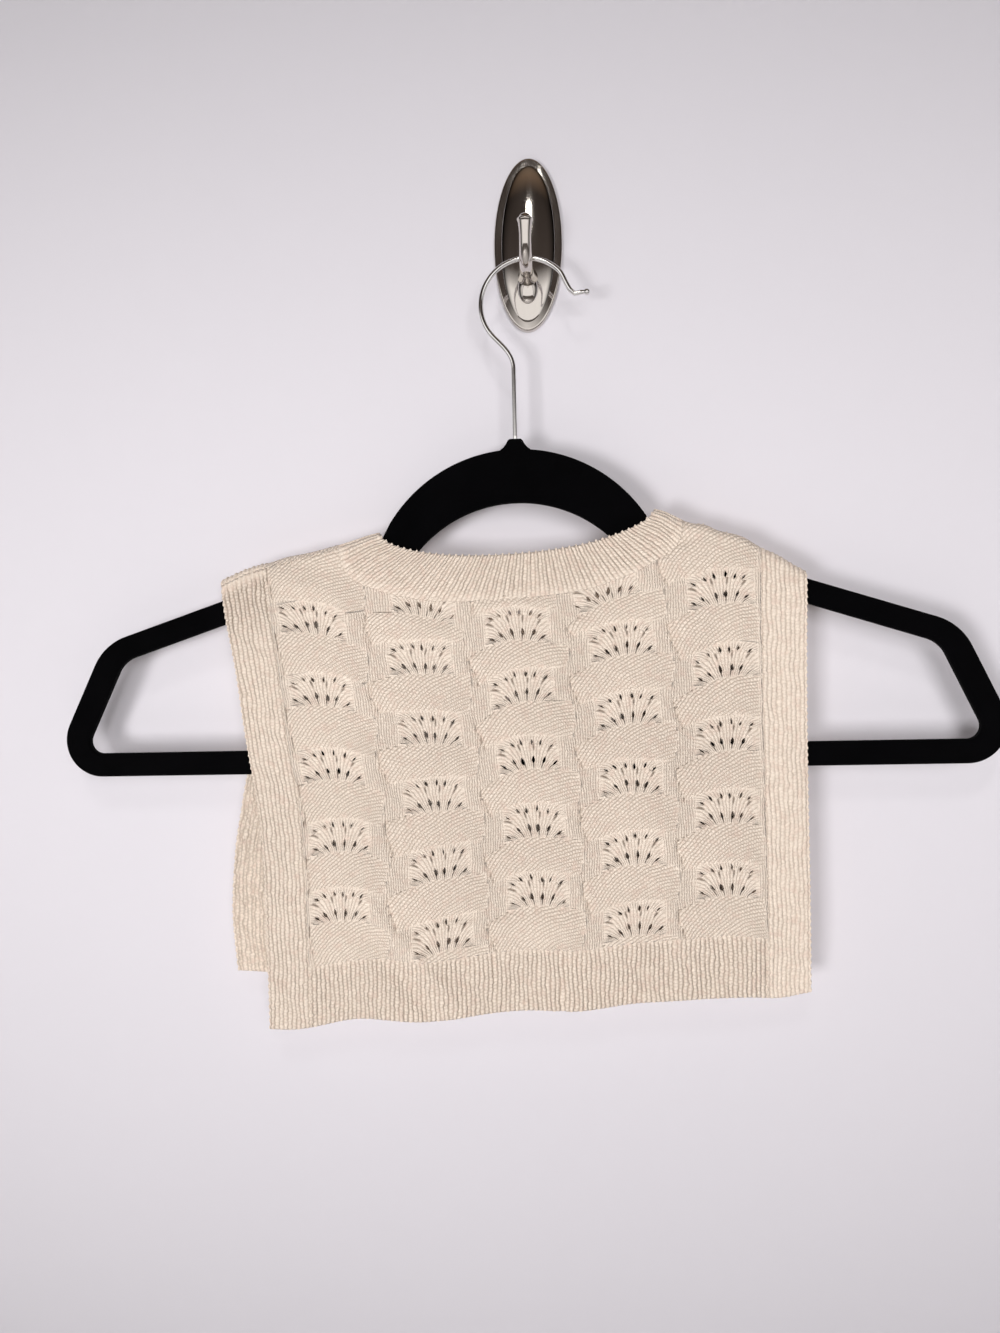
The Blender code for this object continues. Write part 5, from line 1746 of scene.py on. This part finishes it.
@dataclass
class Studio:
    """Pale wall and floor, soft light and the camera."""

    wall_half: float = 3.0
    wall_gap: float = 0.0004
    floor_z: float = -1.1
    camera_place: tuple[float, float, float] = (0.0215, -0.4961, -0.2082)
    camera_yaw: float = math.radians(4.1)
    lens: float = 27.03

    def painted_light_falloff(self, graph: Graph, place: Socket) -> Socket:
        """Paint the light's fall-off into the wall's colour: darker away from its middle, mostly up and down.

        Args:
            graph: the wall's nodes.
            place: where a point of the wall is.

        Returns:
            The share of the paint's colour that shows.
        """
        mapping = graph.add("ShaderNodeMapping")
        graph.put(place, mapping.inputs["Vector"])
        mapping.inputs["Location"].default_value = (0.0, 0.0, 0.20)
        mapping.inputs["Scale"].default_value = (0.45, 0.0, 1.0)
        length = graph.add("ShaderNodeVectorMath", operation="LENGTH")
        graph.put(mapping.outputs["Vector"], length.inputs[0])
        away = graph.math("POWER", length.outputs["Value"], 2.0)
        return graph.math("MAXIMUM", graph.math("MULTIPLY_ADD", away, -2.2, 0.97), 0.6)

    def pale(self, name: str, colour: Colour, wall: bool) -> bpy.types.Material:
        """A pale painted finish.

        Args:
            name: the material's name.
            colour: its paint.
            wall: True for the wall, whose colour has a painted light fall-off, mostly up and down, and which
                isn't seen from behind.

        Returns:
            The material.
        """
        material = bpy.data.materials.new(name)
        material.use_nodes = True
        graph = Graph(material.node_tree)
        shader = material.node_tree.nodes["Principled BSDF"]
        output = material.node_tree.nodes["Material Output"]
        place = graph.object_place()
        tone = graph.spread(graph.noise(place, 3.0, 1.0), 0.3, 0.7, 0.985, 1.0)
        if wall:
            # Painted light: the wall's colour darkens away from its middle.
            tone = graph.math("MULTIPLY", tone, self.painted_light_falloff(graph, place))
        scaled = graph.add("ShaderNodeVectorMath", operation="SCALE")
        scaled.inputs[0].default_value = colour
        graph.put(tone, scaled.inputs["Scale"])
        graph.put(scaled.outputs[0], shader.inputs["Base Color"])
        graph.put(graph.bump(graph.noise(place, 900.0, 3.0), 0.05 * MM, 0.3), shader.inputs["Normal"])
        shader.inputs["Roughness"].default_value = 0.75
        shader.inputs["Specular IOR Level"].default_value = 0.15
        if wall:
            clear = graph.add("ShaderNodeBsdfTransparent")
            choose = graph.add("ShaderNodeMixShader")
            graph.put(graph.add("ShaderNodeNewGeometry").outputs["Backfacing"], choose.inputs["Fac"])
            graph.put(shader.outputs["BSDF"], choose.inputs[1])
            graph.put(clear.outputs["BSDF"], choose.inputs[2])
            graph.put(choose.outputs["Shader"], output.inputs["Surface"])
        return material

    def plane(self, name: str, turn: Matrix, place: Vector, material: bpy.types.Material) -> bpy.types.Object:
        """Add a big flat backdrop.

        Args:
            name: its name.
            turn: how it is turned from lying flat.
            place: its middle, in metres.
            material: its finish.

        Returns:
            The backdrop.
        """
        flat = bmesh.new()
        bmesh.ops.create_grid(flat, x_segments=1, y_segments=1, size=self.wall_half)
        bmesh.ops.transform(flat, verts=flat.verts, matrix=Matrix.Translation(place) @ turn)
        mesh = bpy.data.meshes.new(name)
        flat.to_mesh(mesh)
        flat.free()
        mesh.materials.append(material)
        thing = bpy.data.objects.new(name, mesh)
        bpy.context.scene.collection.objects.link(thing)
        return thing

    def lamp(self, name: str, place: Vector, aim: Vector, size: float, power: float, colour: Colour,
             mirrored: bool) -> None:
        """Add a soft square light that looks at a point.

        Args:
            name: the light's name.
            place: where it is.
            aim: what it looks at.
            size: its side.
            power: its power.
            colour: its colour.
            mirrored: whether metal shows it.
        """
        light = bpy.data.lights.new(name, "AREA")
        light.size = size
        light.energy = power
        light.color = colour
        lamp = bpy.data.objects.new(name, light)
        lamp.location = place
        lamp.rotation_euler = (aim - place).to_track_quat("-Z", "Y").to_euler()
        lamp.visible_glossy = mirrored
        bpy.context.scene.collection.objects.link(lamp)

    def build(self) -> None:
        """Build the stage, the lights and the camera."""
        upright = Matrix.Rotation(math.radians(90), 4, "X")
        wall = self.plane("studio_wall", upright, Vector((0.0, self.wall_gap, 0.0)),
                          self.pale("pale_wall", (0.80, 0.777, 0.825), True))
        wall.visible_shadow = False
        self.plane("studio_floor", Matrix.Identity(4), Vector((0.0, 0.0, self.floor_z)),
                   self.pale("pale_floor", (0.78, 0.77, 0.76), False))
        aim = Vector((0.0, -0.02, -0.24))
        self.lamp("key", Vector((-0.62, -1.55, -0.60)), aim, 0.42, 13.2, (1.0, 0.985, 0.985), False)
        self.lamp("front", Vector((0.30, -1.6, -0.1)), aim, 0.6, 10.4, (1.0, 0.985, 0.99), False)
        self.lamp("ceiling", Vector((-0.03, -1.25, 0.70)), aim, 0.16, 1.6, (1.0, 0.98, 0.95), True)
        self.lamp("behind", Vector((0.0, 1.6, 0.3)), aim, 1.6, 12.0, (1.0, 1.0, 1.0), False)
        world = bpy.data.worlds.new("studio_air")
        world.use_nodes = True
        graph = Graph(world.node_tree)
        _, away, rising = graph.split(graph.add("ShaderNodeTexCoord").outputs["Generated"])
        ramp = graph.add("ShaderNodeValToRGB")
        steps = ((0.0, (0.80, 0.79, 0.80)), (0.585, (0.78, 0.76, 0.75)), (0.645, (0.05, 0.04, 0.036)),
                 (0.79, (0.03, 0.024, 0.021)), (0.86, (0.16, 0.11, 0.075)), (1.0, (0.30, 0.23, 0.17)))
        while len(ramp.color_ramp.elements) < len(steps):
            ramp.color_ramp.elements.new(0.5)
        for element, (place, colour) in zip(ramp.color_ramp.elements, steps):
            element.position = place
            element.color = (*colour, 1.0)
        graph.put(graph.math("MULTIPLY_ADD", rising, 0.5, 0.5), ramp.inputs["Fac"])
        air = world.node_tree.nodes["Background"]
        graph.put(ramp.outputs["Color"], air.inputs["Color"])
        shown = graph.add("ShaderNodeLightPath").outputs["Is Glossy Ray"]
        in_front = graph.spread(graph.math("MULTIPLY", away, -1.0), 0.3, 0.75, 0.12, 1.5)
        level = graph.spread(rising, -0.8, -0.3, 0.08, 1.0)
        graph.put(graph.blend(shown, 0.5, graph.math("MULTIPLY", in_front, level)), air.inputs["Strength"])
        scene = bpy.context.scene
        scene.world = world
        scene.view_settings.view_transform = "Standard"
        camera = bpy.data.cameras.new("photo_camera")
        camera.lens = self.lens
        camera.sensor_width = 36.0
        camera.clip_start = 0.01
        view = bpy.data.objects.new("photo_camera", camera)
        view.location = self.camera_place
        view.rotation_euler = (math.radians(90), 0.0, self.camera_yaw)
        scene.collection.objects.link(view)
        scene.camera = view


def main() -> None:
    """Build every piece in order and say what was made."""
    logging.basicConfig(level=logging.INFO, format="%(message)s")
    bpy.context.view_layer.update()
    Studio().build()
    grain = grain_group()
    Hanger().build(FlockFinish())
    WireHook().build(MetalFinish("bright_wire", (0.86, 0.85, 0.84), (0.78, 0.77, 0.76), 0.06, 0.12,
                                 (900.0, 900.0, 60.0), 0.004 * MM).make(grain))
    WallHook().build(MetalFinish("polished_nickel", (0.66, 0.62, 0.58), (0.60, 0.56, 0.52), 0.05, 0.10,
                                 (300.0, 300.0, 40.0), 0.003 * MM).make(grain))
    Vest().build()


if __name__ == "__main__":
    main()
